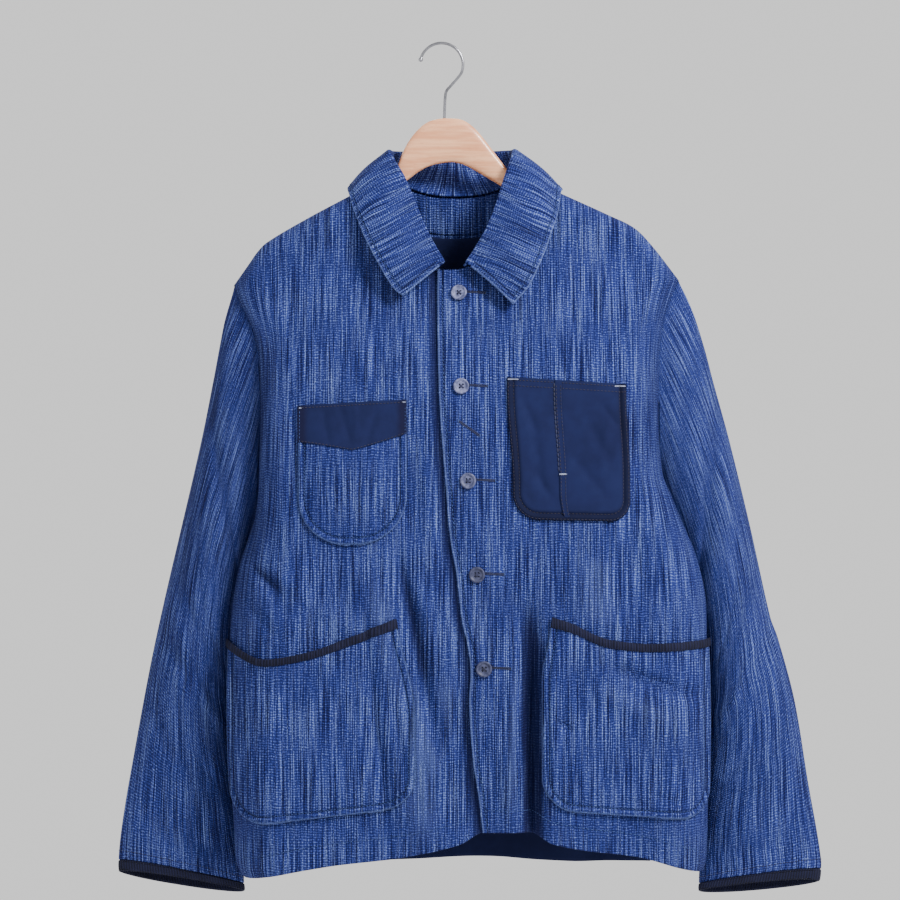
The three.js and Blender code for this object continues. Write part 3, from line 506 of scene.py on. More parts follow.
@dataclass
class ClothGrid:
    """A sheet of cloth as a grid of points on the middle of its wall.

    Attributes:
        points: (columns, rows, 3), so that the columns' direction times the rows' faces out.
        around: Whether the last column is followed by the first.
        uv: Places on the flat cloth in metres, with one more column where it runs around.
        seam: Distance in mm from the edge or seam that the topstitching follows.
        painted_shading: How deep in a fold each point lies, in mm, with painted shadow bands beside
            some seams and edges added. The colour paints it as shade, and as a painted highlight on
            ridges, where it is negative.
    """

    points: Array
    around: bool = False
    uv: Array | None = None
    seam: Array | None = None
    painted_shading: Array | None = None
    normals: Array = field(init=False)

    def __post_init__(self) -> None:
        """Works out the normals, a place on the flat cloth and a far seam where none is given."""
        self.normals = self.find_normals()
        if self.uv is None:
            self.uv = self.flat_places()
        if self.seam is None:
            self.seam = np.full(self.points.shape[:2], FAR)
        if self.painted_shading is None:
            self.painted_shading = np.zeros(self.points.shape[:2])

    def find_normals(self) -> Array:
        """Unit normals, from the columns' direction times the rows' direction."""
        if self.around:
            ends = np.concatenate([self.points[-1:], self.points, self.points[:1]])
            along_columns = ends[2:] - ends[:-2]
        else:
            along_columns = np.gradient(self.points, axis=0)
        return unit(np.cross(along_columns, np.gradient(self.points, axis=1)))

    def closed(self) -> Array:
        """The points, with the first column repeated at the end of a grid that runs around."""
        return np.concatenate([self.points, self.points[:1]]) if self.around else self.points

    def flat_places(self) -> Array:
        """Run lengths both ways, counted across from the middle column, in metres."""
        points = self.closed()
        across = run_lengths(points, 0)
        middle = across[len(across) // 2][None]
        return np.stack([across - middle, run_lengths(points, 1)], axis=-1) * MM

    def moved(self, distance: float | Array) -> "ClothGrid":
        """The same cloth, moved out along its normals."""
        shift = np.broadcast_to(distance, self.points.shape[:2])[..., None]
        points = self.points + self.normals * shift
        return ClothGrid(points, self.around, self.uv, self.seam, self.painted_shading)

    def cut_size(self) -> tuple[float, float, float]:
        """The flat width, length and area of the cloth in metres, from its runs and its faces."""
        points = self.closed() * MM
        width = run_lengths(points, 0)[-1].max()
        length = run_lengths(points, 1)[:, -1].max()
        diagonal = points[1:, 1:] - points[:-1, :-1]
        other = points[:-1, 1:] - points[1:, :-1]
        area = 0.5 * np.linalg.norm(np.cross(diagonal, other), axis=-1).sum()
        return float(width), float(length), float(min(area, width * length))


def body_uv(points: Array) -> Array:
    """Flat places of a body panel in metres, with the warp upright.

    Across, it is x and the depth that the cloth turns away at the sides; upwards, it is the hem's
    height and then the run in y and z.
    """
    x, z = points[..., 0], points[..., 2]
    from_edge = np.minimum(FORM.side_left(z) - x, x - FORM.side_right(z))
    turned = 1 - np.clip(from_edge / FORM.side_round(z), 0, 1)
    across = x + np.sign(x - 20) * 62 * (1 - np.sqrt(1 - turned * turned))
    up = points[:, :1, 2] + run_lengths(points, 1, (1, 2))
    return np.stack([across, up], axis=-1) * MM


def smoothed(values: Array, axis: int) -> Array:
    """A grid's values, each averaged with half its neighbours along one axis."""
    grid = np.moveaxis(values, axis, 0)
    ends = np.concatenate([grid[:1], grid, grid[-1:]])
    return np.moveaxis((ends[:-2] + 2 * grid + ends[2:]) / 4, 0, axis)


def distance_to_line(places: Array, line: Array) -> Array:
    """The shortest distance from each place to a line of points, both in the plane.

    Args:
        places: (..., 2).
        line: (n, 2), close enough together to stand for the line.

    Returns:
        Distances, of the places' own shape.
    """
    flat = places.reshape(-1, 2)
    nearest = [
        np.sqrt(((some[:, None] - line[None]) ** 2).sum(-1).min(1))
        for some in np.array_split(flat, max(len(flat) // 4000, 1))
    ]
    return np.concatenate(nearest).reshape(places.shape[:-1])


def new_piece(name: str, vertices: Array, faces: list[list[int]]) -> Piece:
    """Makes a smooth mesh piece from vertices in millimetres, riding on the body."""
    mesh = bpy.data.meshes.new(name)
    mesh.from_pydata((vertices * MM).tolist(), [], faces)
    mesh.polygons.foreach_set("use_smooth", np.ones(len(mesh.polygons), bool))
    mesh.update()
    piece = bpy.data.objects.new(name, mesh)
    bpy.context.scene.collection.objects.link(piece)
    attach(piece, BODY)
    return piece


RIM_ANGLES = np.radians([45, 0, -45])  # where the rings of a rounded edge lie


@dataclass(frozen=True)
class Stuff:
    """A built material, and the slot of the part that it stands for."""

    material: Material
    slot: str


def mark_points(mesh: bpy.types.Mesh, label: str, values: Array) -> None:
    """Keeps a value for each point of a mesh, for its material to read."""
    mesh.attributes.new(label, "FLOAT", "POINT").data.foreach_set("value", values.ravel())


def make_wall(
    name: str, cloth: ClothGrid, wall: float, outside: Stuff, inside: Stuff | None = None
) -> Piece:
    """Makes the closed wall of a sheet, with its edges rounded on a half circle.

    The faces lie half a wall out from the grid and half a wall in. At an edge both are drawn in
    by half a wall, and rings of points turn from one to the other about that drawn-in line.

    Args:
        name: The piece's name.
        cloth: The middle of the wall.
        wall: Thickness of the cloth.
        outside: Stuff of the outer face and of the edges.
        inside: Stuff of the inner face, where it differs.

    Returns:
        The piece, with its map named cloth and its attributes seam_mm and painted_shading_mm.
    """
    columns, rows = cloth.points.shape[:2]
    wide = columns + 1 if cloth.around else columns
    ids = np.arange(wide * rows).reshape(wide, rows)
    vertex = ((np.arange(wide) % columns)[:, None] * rows + np.arange(rows)).ravel()
    radius = wall / 2
    points, normals = cloth.points.reshape(-1, 3), cloth.normals.reshape(-1, 3)
    outer, inner = points + normals * radius, points - normals * radius
    if cloth.around:
        loops = [ids[:, 0], ids[::-1, -1]]
    else:
        ring = [ids[:-1, 0], ids[-1, :-1], ids[:0:-1, -1], ids[0, :0:-1], ids[0, :1]]
        loops = [np.concatenate(ring)]
    square = np.stack([ids[:-1, :-1], ids[1:, :-1], ids[1:, 1:], ids[:-1, 1:]], -1).reshape(-1, 4)
    back = square[:, ::-1]
    total = columns * rows
    quads, maps = [vertex[square], vertex[back] + total], [square, back]
    added, added_ids = [], []
    count = 2 * total
    for loop in loops:
        rim = vertex[loop[:-1]]
        p, n = points[rim], normals[rim]
        inwards = unit(np.cross(n, np.roll(p, -1, 0) - np.roll(p, 1, 0)))
        outer[rim] = p + (inwards + n) * radius
        inner[rim] = p + (inwards - n) * radius
        chain = [vertex[loop]]
        for angle in RIM_ANGLES:
            added.append(p + radius * (inwards * (1 - np.cos(angle)) + n * np.sin(angle)))
            added_ids.append(rim)
            ring_ids = count + np.arange(len(rim))
            chain.append(np.append(ring_ids, ring_ids[0]))
            count += len(rim)
        chain.append(vertex[loop] + total)
        for a, b in zip(chain, chain[1:]):
            quads.append(np.stack([a[:-1], b[:-1], b[1:], a[1:]], -1))
            maps.append(np.stack([loop[:-1], loop[:-1], loop[1:], loop[1:]], -1))
    faces, places = np.concatenate(quads), np.concatenate(maps)
    piece = new_piece(name, np.concatenate([outer, inner, *added]), faces.tolist())
    mesh = piece.data
    layer = mesh.uv_layers.new(name="cloth")
    layer.data.foreach_set("uv", cloth.uv.reshape(-1, 2)[places.ravel()].ravel())
    rims = np.concatenate(added_ids)
    for label, grid in (("seam_mm", cloth.seam), ("painted_shading_mm", cloth.painted_shading)):
        values = grid.ravel()
        mark_points(mesh, label, np.concatenate([values, values, values[rims]]))
    mesh.materials.append(outside.material)
    if inside:
        mesh.materials.append(inside.material)
        index = np.zeros(len(faces), np.int32)
        index[len(square):2 * len(square)] = 1
        mesh.polygons.foreach_set("material_index", index)
    return piece


def make_sheet(
    node: str, cloth: ClothGrid, wall: float, outside: Stuff,
    suffix: str = "cloth", inside: Stuff | None = None,
) -> Piece:
    """Args:
        node: The part's node that it stands for.
        cloth: The middle of its wall.
        wall: Its thickness.
        outside: Stuff of the outer face and of the edges.
        suffix: What the piece's name adds to the node's.
        inside: Stuff of the inner face, where it differs.

    Returns:
        The piece.
    """
    piece = make_wall(f"{node}_{suffix}", cloth, wall, outside, inside)
    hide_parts(node)
    width, length, area = cloth.cut_size()
    LOG.info("%s: %.0f x %.0f mm of cloth", piece.name, width / MM, length / MM)
    return piece


def make_loft(name: str, node: str, rings: Array, stuff: Stuff) -> Piece:
    """Makes a closed solid through rings of points, each end closed by one face.

    Args:
        name: The piece's name.
        node: The part's node that it stands for.
        rings: (stations, points around, 3) in millimetres.
        stuff: What it is made of.

    Returns:
        The piece, with its faces turned outwards.
    """
    stations, around = rings.shape[:2]
    ids = np.arange(stations * around).reshape(stations, around)
    after = np.roll(ids, -1, axis=1)
    quads = np.stack([ids[:-1], after[:-1], after[1:], ids[1:]], -1).reshape(-1, 4)
    faces = [*quads.tolist(), ids[0, ::-1].tolist(), ids[-1].tolist()]
    points = rings.reshape(-1, 3)
    a, b, c, d = (points[quads] - points.mean(0)).transpose(1, 0, 2)
    volume = (np.cross(a, b) * c).sum() + (np.cross(a, c) * d).sum()
    if volume < 0:
        faces = [face[::-1] for face in faces]
    piece = new_piece(name, points, faces)
    piece.data.materials.append(stuff.material)
    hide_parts(node)
    return piece


def tube_rings(path: Array, radius: Array, sides: int, up: Array) -> Array:
    """Rings of a round tube: circles square to the path, one of their axes along `up`."""
    along = unit(np.gradient(path, axis=0))
    across = unit(np.cross(along, up))
    other = np.cross(across, along)
    angle = turns(sides)[None, :, None]
    spread = np.cos(angle) * across[:, None] + np.sin(angle) * other[:, None]
    return path[:, None] + spread * np.broadcast_to(radius, len(path))[:, None, None]


@dataclass
class StitchRow:
    """Stitches of one thread along a line on cloth."""

    pitch: float = 3.6
    length: float = 2.5
    radius: float = 0.34
    lift: float = 0.12

    def ends(self, line: Array, normals: Array) -> tuple[Array, Array, Array]:
        """Cuts a line into stitches by its run length.

        Args:
            line: (n, 3) points on the cloth's face.
            normals: (n, 3) the face's normals there.

        Returns:
            The stitches' starts, ends and normals.
        """
        run = np.append(0, np.cumsum(np.linalg.norm(np.diff(line, axis=0), axis=1)))
        starts = np.arange(self.pitch * 0.3, run[-1] - self.length, self.pitch)

        def at(run_place: Array, values: Array) -> Array:
            return np.stack([np.interp(run_place, run, values[:, k]) for k in range(3)], -1)

        return at(starts, line), at(starts + self.length, line), unit(at(starts, normals))


THREAD_PLACES = np.array([0.0, 0.12, 0.35, 0.65, 0.88, 1.0])
THREAD_WIDTHS = np.array([0.35, 0.85, 1.0, 1.0, 0.85, 0.35])
THREAD_RISES = np.array([-0.6, 0.35, 0.8, 0.8, 0.35, -0.6])
THREAD_SIDES = 6


def make_threads(
    name: str, rows: Sequence[tuple[Array, Array, Array]], row: StitchRow, stuff: Stuff
) -> Piece:
    """Makes stitches as short arched threads, all in one mesh.

    Each is a six-sided tube from its start to its end. Its width narrows and its middle rises
    off the cloth by shares of the thread's radius.

    Args:
        name: The piece's name.
        rows: Starts, ends and normals of each row's stitches.
        row: The sizes of a stitch.
        stuff: What the thread is made of.

    Returns:
        The piece.
    """
    starts, ends, normals = (np.concatenate(part) for part in zip(*rows))
    along = ends - starts
    side = unit(np.cross(along, normals))
    middle = starts[:, None] + along[:, None] * THREAD_PLACES[None, :, None]
    rises = row.lift + row.radius * THREAD_RISES
    middle = middle + normals[:, None] * rises[None, :, None]
    angle = turns(THREAD_SIDES)[None, :, None]
    spread = np.cos(angle) * side[:, None] + np.sin(angle) * normals[:, None]
    width = (row.radius * THREAD_WIDTHS)[None, :, None, None]
    points = middle[:, :, None] + spread[:, None] * width
    count, stations = len(starts), len(THREAD_PLACES)
    ids = np.arange(count * stations * THREAD_SIDES).reshape(count, stations, THREAD_SIDES)
    after = np.roll(ids, -1, axis=2)
    quads = np.stack([ids[:, 1:], after[:, 1:], after[:, :-1], ids[:, :-1]], -1).reshape(-1, 4)
    caps = [*ids[:, 0].tolist(), *ids[:, -1, ::-1].tolist()]
    piece = new_piece(name, points.reshape(-1, 3), [*quads.tolist(), *caps])
    piece.data.materials.append(stuff.material)
    return piece


class FaceFinder:
    """Finds where a place of the front view lies on a piece, as seen from the front."""

    def __init__(self, piece: Piece) -> None:
        """Keeps a search tree of the mesh of a piece whose faces all have four corners."""
        mesh = piece.data
        places, corners = np.empty(len(mesh.vertices) * 3), np.empty(len(mesh.loops), np.int32)
        mesh.vertices.foreach_get("co", places)
        mesh.loops.foreach_get("vertex_index", corners)
        faces = corners.reshape(-1, 4).tolist()
        self.tree = BVHTree.FromPolygons(places.reshape(-1, 3).tolist(), faces)

    def drop(self, line: Array) -> tuple[Array, Array]:
        """Puts a line of places (x, z) on the piece.

        Args:
            line: (n, 2) places of the front view.

        Returns:
            The points and the face's normals, in millimetres, of the places that hit it.
        """
        ahead = Vector((0, 1, 0))
        hits = [self.tree.ray_cast(Vector((x * MM, -1, z * MM)), ahead) for x, z in line]
        points = [hit[0] / MM for hit in hits if hit[0]]
        normals = [hit[1] for hit in hits if hit[0]]
        return np.array(points), np.array(normals)

    def sew(self, row: StitchRow, x: Array, z: Array) -> tuple[Array, Array, Array]:
        """The stitches of a row along places of the front view."""
        return row.ends(*self.drop(np.stack([x, z], -1)))


def even_line(points: Array, step: float) -> Array:
    """A line in the plane or in space, resampled at even steps of its length."""
    run = np.append(0, np.cumsum(np.linalg.norm(np.diff(points, axis=0), axis=1)))
    places = np.linspace(0, run[-1], max(int(run[-1] / step), 2))
    return np.stack([np.interp(places, run, points[:, k]) for k in range(points.shape[1])], -1)


def inset(line: Array, distance: float) -> Array:
    """A line in the plane, moved to its left by a distance."""
    along = unit(np.gradient(line, axis=0))
    return line + np.stack([-along[:, 1], along[:, 0]], -1) * distance


def colour(red: int, green: int, blue: int) -> tuple[float, float, float, float]:
    """A screen colour of 0 to 255 as the linear colour that a shader takes."""
    values = [c / 255 for c in (red, green, blue)]
    linear = [v / 12.92 if v <= 0.04045 else ((v + 0.055) / 1.055) ** 2.4 for v in values]
    return (*linear, 1.0)


WHITE = colour(255, 255, 255)
DULL = {"Specular IOR Level": 0.1}


class Nodes:
    """Short ways to add the nodes of one material or node group."""

    def __init__(self, tree: Tree) -> None:
        """Keeps the tree that the nodes go into."""
        self.tree = tree

    def add(self, kind: str, inputs: dict | None = None, **settings: object) -> Node:
        """Adds a node, with its settings, and values or links for its inputs."""
        node = self.tree.nodes.new(kind)
        for key, value in settings.items():
            setattr(node, key, value)
        for key, value in (inputs or {}).items():
            self.feed(node.inputs[key], value)
        return node

    def feed(self, socket: Socket, value: object) -> None:
        """Links an output to a socket, or sets the socket's value."""
        if isinstance(value, Socket):
            self.tree.links.new(value, socket)
        else:
            socket.default_value = value

    def math(self, operation: str, *values: object) -> Socket:
        """A Math node's result."""
        node = self.add("ShaderNodeMath", operation=operation)
        for socket, value in zip(node.inputs, values):
            self.feed(socket, value)
        return node.outputs[0]

    def total(self, start: float, *terms: tuple[object, float]) -> Socket:
        """A number plus values, each times its weight."""
        result: object = start
        for value, weight in terms:
            result = self.math("MULTIPLY_ADD", value, weight, result)
        return result

    def noise(self, vector: object, scale: float, detail: float = 2, rough: float = 0.5) -> Socket:
        """A noise's value, from about 0.2 to 0.8 round 0.5."""
        inputs = {"Vector": vector, "Scale": scale, "Detail": detail, "Roughness": rough}
        return self.add("ShaderNodeTexNoise", inputs).outputs["Fac"]

    def stretched(self, vector: object, scale: tuple[float, float, float],
                  shift: tuple[float, float, float] = (0, 0, 0)) -> Socket:
        """A vector scaled along each axis and then shifted."""
        inputs = {"Vector": vector, "Scale": scale, "Location": shift}
        return self.add("ShaderNodeMapping", inputs).outputs[0]

    def mix(self, share: object, a: object, b: object, blend_type: str = "MIX") -> Socket:
        """A mix of two colours."""
        node = self.add("ShaderNodeMix", data_type="RGBA", blend_type=blend_type)
        for number, value in ((0, share), (6, a), (7, b)):
            self.feed(node.inputs[number], value)
        return node.outputs[2]

    def tint(self, base: object, mask: object, most: float, tone: object) -> Socket:
        """A colour mixed towards a tone by a mask, up to a share."""
        return self.mix(self.math("MULTIPLY", mask, most), base, tone)

    def step(self, value: object, low: float, high: float) -> Socket:
        """A smooth step from 0 at low to 1 at high."""
        inputs = {"Value": value, "From Min": low, "From Max": high}
        node = self.add("ShaderNodeMapRange", inputs, interpolation_type="SMOOTHSTEP")
        return node.outputs[0]

    def ramp(self, value: object, stops: Sequence[tuple[float, tuple]]) -> Socket:
        """A colour ramp's colour."""
        node = self.add("ShaderNodeValToRGB", {"Fac": value})
        elements = node.color_ramp.elements
        elements[0].position, elements[0].color = stops[0]
        elements[1].position, elements[1].color = stops[-1]
        for place, tone in stops[1:-1]:
            elements.new(place).color = tone
        return node.outputs[0]

    def group(self, tree: Tree, inputs: dict) -> Node:
        """A node that uses a node group."""
        node = self.add("ShaderNodeGroup")
        node.node_tree = tree
        for key, value in inputs.items():
            self.feed(node.inputs[key], value)
        return node


def new_group(name: str, inputs: dict[str, str], outputs: dict[str, str]) -> tuple:
    """Makes a shader node group.

    Args:
        name: Its name.
        inputs: The names of its inputs, each with the kind of its socket.
        outputs: The same of its outputs.

    Returns:
        The group, a Nodes helper for it, its input node and its output node.
    """
    tree = bpy.data.node_groups.new(name, "ShaderNodeTree")
    for label, kind in inputs.items():
        tree.interface.new_socket(label, in_out="INPUT", socket_type=kind)
    for label, kind in outputs.items():
        tree.interface.new_socket(label, in_out="OUTPUT", socket_type=kind)
    nodes = Nodes(tree)
    return tree, nodes, nodes.add("NodeGroupInput"), nodes.add("NodeGroupOutput")


VECTOR, FLOAT = "NodeSocketVector", "NodeSocketFloat"


def weave_group() -> Tree:
    """Threads both ways at pitches in mm: a wave across each, bent a little by noise."""
    tree, nodes, start, end = new_group(
        "crossed_threads",
        {"Place": VECTOR, "Warp Pitch": FLOAT, "Weft Pitch": FLOAT, "Waver": FLOAT},
        {"Warp": FLOAT, "Weft": FLOAT},
    )
    place = start.outputs["Place"]
    split = nodes.add("ShaderNodeSeparateXYZ", {"Vector": place})
    bend = nodes.noise(nodes.stretched(place, (0.09, 0.05, 1)), 1, 2)
    bend = nodes.math("MULTIPLY", nodes.math("SUBTRACT", bend, 0.5), start.outputs["Waver"])
    for axis, label in ((0, "Warp"), (1, "Weft")):
        bent = nodes.math("ADD", split.outputs[axis], bend)
        cycles = nodes.math("DIVIDE", bent, start.outputs[f"{label} Pitch"])
        wave = nodes.math("SINE", nodes.math("MULTIPLY", cycles, 2 * math.pi))
        nodes.feed(end.inputs[label], wave)
    return tree


def groove_group() -> Tree:
    """Two sewn-down grooves at distances from a seam: bells of the distance, added up."""
    tree, nodes, start, end = new_group(
        "sewn_grooves",
        {"Distance": FLOAT, "First": FLOAT, "Second": FLOAT, "Half Width": FLOAT},
        {"Groove": FLOAT},
    )
    bells = []
    for label in ("First", "Second"):
        off = nodes.math("SUBTRACT", start.outputs["Distance"], start.outputs[label])
        off = nodes.math("DIVIDE", off, start.outputs["Half Width"])
        square = nodes.math("MULTIPLY", off, off)
        bells.append(nodes.math("EXPONENT", nodes.math("MULTIPLY", square, -1.0)))
    nodes.feed(end.inputs["Groove"], nodes.math("ADD", *bells))
    return tree


def mottle_group() -> Tree:
    """Uneven dye and wear: broad and narrow noise of the place in mm, from 0 to 1."""
    tree, nodes, start, end = new_group("uneven_dye", {"Place": VECTOR}, {"Mottle": FLOAT})
    broad = nodes.noise(start.outputs["Place"], 0.011, 2)
    narrow = nodes.noise(start.outputs["Place"], 0.07, 3, 0.6)
    both = nodes.total(0, (broad, 0.6), (narrow, 0.4))
    nodes.feed(end.inputs["Mottle"], nodes.step(both, 0.34, 0.66))
    return tree


class SharedEffects:
    """The node groups that more than one material uses, each made once."""

    def __init__(self) -> None:
        """Makes the groups."""
        self.weave = weave_group()
        self.grooves = groove_group()
        self.mottle = mottle_group()


class Surface(Nodes):
    """The nodes of one material, round its Principled shader."""

    def __init__(self, name: str, effects: SharedEffects | None = None) -> None:
        """Starts the material, with the shared effects where it uses them."""
        self.material = bpy.data.materials.new(name)
        self.material.use_nodes = True
        super().__init__(self.material.node_tree)
        self.effects = effects
        self.shader = self.tree.nodes["Principled BSDF"]

    def cloth_place(self) -> Socket:
        """The place on the flat cloth in millimetres, from the piece's own map."""
        uv = self.add("ShaderNodeUVMap", uv_map="cloth").outputs[0]
        return self.stretched(uv, (1000, 1000, 1))

    def object_place(self) -> Socket:
        """The place in space in millimetres."""
        place = self.add("ShaderNodeTexCoord").outputs["Object"]
        return self.stretched(place, (1000, 1000, 1000))

    def attribute(self, name: str) -> Socket:
        """A value that the piece keeps for each of its points."""
        return self.add("ShaderNodeAttribute", attribute_name=name).outputs["Fac"]

    def weave(self, place: Socket, warp: float, weft: float, waver: float) -> tuple:
        """Waves across the warp and the weft, at pitches in mm."""
        node = self.group(self.effects.weave, {
            "Place": place, "Warp Pitch": warp, "Weft Pitch": weft, "Waver": waver,
        })
        return node.outputs["Warp"], node.outputs["Weft"]

    def grooves(self, distance: Socket, places: Pair, half: float) -> Socket:
        """Sewn-down grooves at two distances from a seam."""
        return self.group(self.effects.grooves, {
            "Distance": distance, "First": places[0], "Second": places[1], "Half Width": half,
        }).outputs[0]

    def mottle(self, place: Socket) -> Socket:
        """Uneven dye and wear."""
        return self.group(self.effects.mottle, {"Place": place}).outputs[0]

    def finish(
        self, slot: str, base: Socket, bump: tuple[Socket, float, float],
        rough: tuple[Socket, float, float] | float, levels: dict[str, float] | None = None,
    ) -> Stuff:
        """Feeds the shader.

        Args:
            slot: The part's slot that the material stands for.
            base: Base colour.
            bump: The bump's height, its strength and its distance in metres.
            rough: The roughness, or a value and the roughness at its 0 and at its 1.
            levels: Uniform values of the shader's other sockets.

        Returns:
            The material with its slot.
        """
        height, strength, distance = bump
        inputs = {"Height": height, "Strength": strength, "Distance": distance}
        normal = self.add("ShaderNodeBump", inputs).outputs[0]
        if isinstance(rough, tuple):
            inputs = dict(zip(("Value", "To Min", "To Max"), rough))
            rough = self.add("ShaderNodeMapRange", inputs).outputs[0]
        fed = {"Base Color": base, "Normal": normal, "Roughness": rough, **(levels or {})}
        for key, value in fed.items():
            self.feed(self.shader.inputs[key], value)
        return Stuff(self.material, slot)


@dataclass(frozen=True)
class SlubFinish:
    """Indigo cloth of uneven threads: upright pale slubs, and weft ribs across them."""

    name: str = "slub_cloth"
    slot: str = "slub_cloth"
    deep: tuple = colour(12, 15, 50)
    dark: tuple = colour(22, 27, 76)
    middle: tuple = colour(34, 43, 103)
    light: tuple = colour(56, 71, 140)
    pale: tuple = colour(112, 132, 188)
    faded: tuple = colour(226, 226, 230)
    thread_pitch: float = 2.3
    rib_pitch: float = 2.8
    grooves: Pair = (6.0, NO_GROOVE)
    shift: float = 0.0

    def build(self, effects: SharedEffects) -> Stuff:
        """Builds the material."""
        nodes = Surface(self.name, effects)
        place = nodes.stretched(nodes.cloth_place(), (1, 1, 1), (self.shift, self.shift * 1.7, 0))
        weft = nodes.weave(place, self.thread_pitch, self.rib_pitch, 6.0)[1]
        strands = nodes.noise(nodes.stretched(place, (0.95, 0.013, 1)), 1, 1, 0.6)
        bands = nodes.noise(nodes.stretched(place, (0.24, 0.007, 1), (7, 3, 0)), 1, 2)
        slubs = nodes.noise(nodes.stretched(place, (1.0, 0.012, 1), (31, 11, 0)), 1, 1)
        knots = nodes.noise(nodes.stretched(place, (0.8, 0.42, 1), (3, 17, 0)), 1, 2)
        ribs = nodes.math("MULTIPLY", weft, nodes.step(knots, 0.3, 0.62))
        value = nodes.total(-1.125, (strands, 2.0), (bands, 0.35), (knots, 0.9), (ribs, 0.2))
        base = nodes.ramp(value, [
            (0.08, self.deep), (0.32, self.dark), (0.54, self.middle), (0.78, self.light),
            (1.0, self.pale),
        ])
        slub = nodes.math("MULTIPLY", nodes.step(slubs, 0.58, 0.7), nodes.step(knots, 0.3, 0.6))
        base = nodes.tint(base, slub, 0.7, self.pale)
        shade = nodes.ramp(nodes.mottle(place), [(0, self.faded), (1, WHITE)])
        base = nodes.mix(1.0, base, shade, "MULTIPLY")
        painted_shading, distance = nodes.attribute("painted_shading_mm"), nodes.attribute("seam_mm")
        # Painted shade: darker towards the deep tone where folds, creases and the bands beside
        # seams lie, and a faint painted highlight on ridges.
        base = nodes.tint(base, nodes.step(painted_shading, 0.6, 11.0), 0.8, self.deep)
        base = nodes.tint(base, nodes.step(painted_shading, -0.5, -6.0), 0.16, self.pale)
        # A paler rim along sewn edges: partly edge wear, partly a painted highlight on the turned
        # edge.
        base = nodes.tint(base, nodes.step(distance, 2.6, 0.9), 0.3, self.pale)
        groove = nodes.grooves(distance, self.grooves, 1.0)
        # Painted shade in the sewn grooves, which the bump also sinks.
        base = nodes.tint(base, groove, 0.75, self.deep)
        height = nodes.total(0, (value, 0.7), (slub, 0.5), (ribs, 0.4), (groove, -2.2))
        return nodes.finish(self.slot, base, (height, 0.8, 0.0007), (value, 0.95, 0.8), DULL)


@dataclass(frozen=True)
class TwillFinish:
    """Smooth navy twill, mottled a little paler in places and dark along its seams."""

    name: str
    dark: tuple = colour(17, 21, 50)
    light: tuple = colour(27, 35, 76)
    seam: tuple = colour(18, 15, 36)
    grooves: Pair = (NO_GROOVE, NO_GROOVE)
    seam_width: float = 0.0
    seam_softness: float = 1.2
    seam_share: float = 0.95
    slot: str = "navy_twill"

    def build(self, effects: SharedEffects) -> Stuff:
        """Builds the material."""
        nodes = Surface(self.name, effects)
        place = nodes.cloth_place()
        turned = nodes.add("ShaderNodeMapping", {"Vector": place, "Rotation": (0, 0, 0.9)})
        warp = nodes.weave(turned.outputs[0], 1.1, 2.6, 0.5)[0]
        lint = nodes.step(nodes.noise(nodes.stretched(place, (0.9, 0.5, 1)), 1, 3, 0.7), 0.56, 0.8)
        value = nodes.total(0.18, (nodes.mottle(place), 0.35), (lint, 0.3), (warp, 0.1))
        base = nodes.mix(value, self.dark, self.light)
        distance = nodes.attribute("seam_mm")
        groove = nodes.grooves(distance, self.grooves, 0.7)
        if self.seam_width:
            soft = self.seam_softness
            edge = nodes.step(distance, self.seam_width + soft, self.seam_width - soft)
            base = nodes.tint(base, edge, self.seam_share, self.seam)
        # Painted shade in the sewn grooves.
        base = nodes.tint(base, groove, 0.4, self.dark)
        height = nodes.total(0, (warp, 0.25), (lint, 0.4), (groove, -1.6))
        return nodes.finish(self.slot, base, (height, 0.5, 0.0004), (value, 0.92, 0.78), DULL)


@dataclass(frozen=True)
class BindingFinish:
    """Navy rib of the bindings, with cords square to the edge that it covers."""

    name: str = "navy_binding"
    dark: tuple = colour(8, 9, 26)
    light: tuple = colour(23, 26, 58)
    pitch: float = 3.0
    slot: str = "navy_twill"

    def build(self, effects: SharedEffects) -> Stuff:
        """Builds the material."""
        nodes = Surface(self.name, effects)
        place = nodes.cloth_place()
        warp, weft = nodes.weave(place, self.pitch, 1.4, 0.9)
        mottle = nodes.mottle(place)
        base = nodes.mix(nodes.total(0.15, (warp, 0.28), (mottle, 0.4)), self.dark, self.light)
        height = nodes.total(0, (warp, 1.0), (weft, 0.3))
        return nodes.finish(self.slot, base, (height, 0.6, 0.0004), (mottle, 0.9, 0.8),
                            {"Specular IOR Level": 0.2})


@dataclass(frozen=True)
class ThreadFinish:
    """Spun sewing thread: fine turns along it and a little fading."""

    name: str
    dark: tuple
    light: tuple
    slot: str

    def build(self, effects: SharedEffects) -> Stuff:
        """Builds the material."""
        nodes = Surface(self.name, effects)
        place = nodes.object_place()
        spin = nodes.noise(place, 1.4, 2)
        value = nodes.total(0, (nodes.mottle(place), 0.5), (spin, 0.5))
        base = nodes.mix(value, self.dark, self.light)
        return nodes.finish(self.slot, base, (spin, 0.4, 0.0002), 0.75)


@dataclass(frozen=True)
class HornFinish:
    """Grey-lilac button stuff with cloudy bands, polished, and stained on the lower buttons."""

    name: str = "button_horn"
    dark: tuple = colour(58, 62, 94)
    light: tuple = colour(112, 116, 152)
    painted_shading: tuple = colour(18, 18, 34)
    stain: tuple = colour(14, 18, 44)
    slot: str = "button_horn"

    def build(self, effects: SharedEffects) -> Stuff:
        """Builds the material."""
        nodes = Surface(self.name, effects)
        place = nodes.object_place()
        cloud = nodes.noise(place, 0.22, 3, 0.6)
        base = nodes.mix(nodes.step(cloud, 0.36, 0.66), self.dark, self.light)
        base = nodes.tint(base, nodes.mottle(place), 0.25, self.light)
        base = nodes.mix(nodes.attribute("stained"), base, self.stain)
        # Painted shade in the four holes.
        base = nodes.mix(nodes.attribute("sunk"), base, self.painted_shading)
        grain = nodes.noise(place, 1.2, 2)
        return nodes.finish(self.slot, base, (grain, 0.12, 0.0003), (cloud, 0.34, 0.54),
                            {"Specular IOR Level": 0.28})


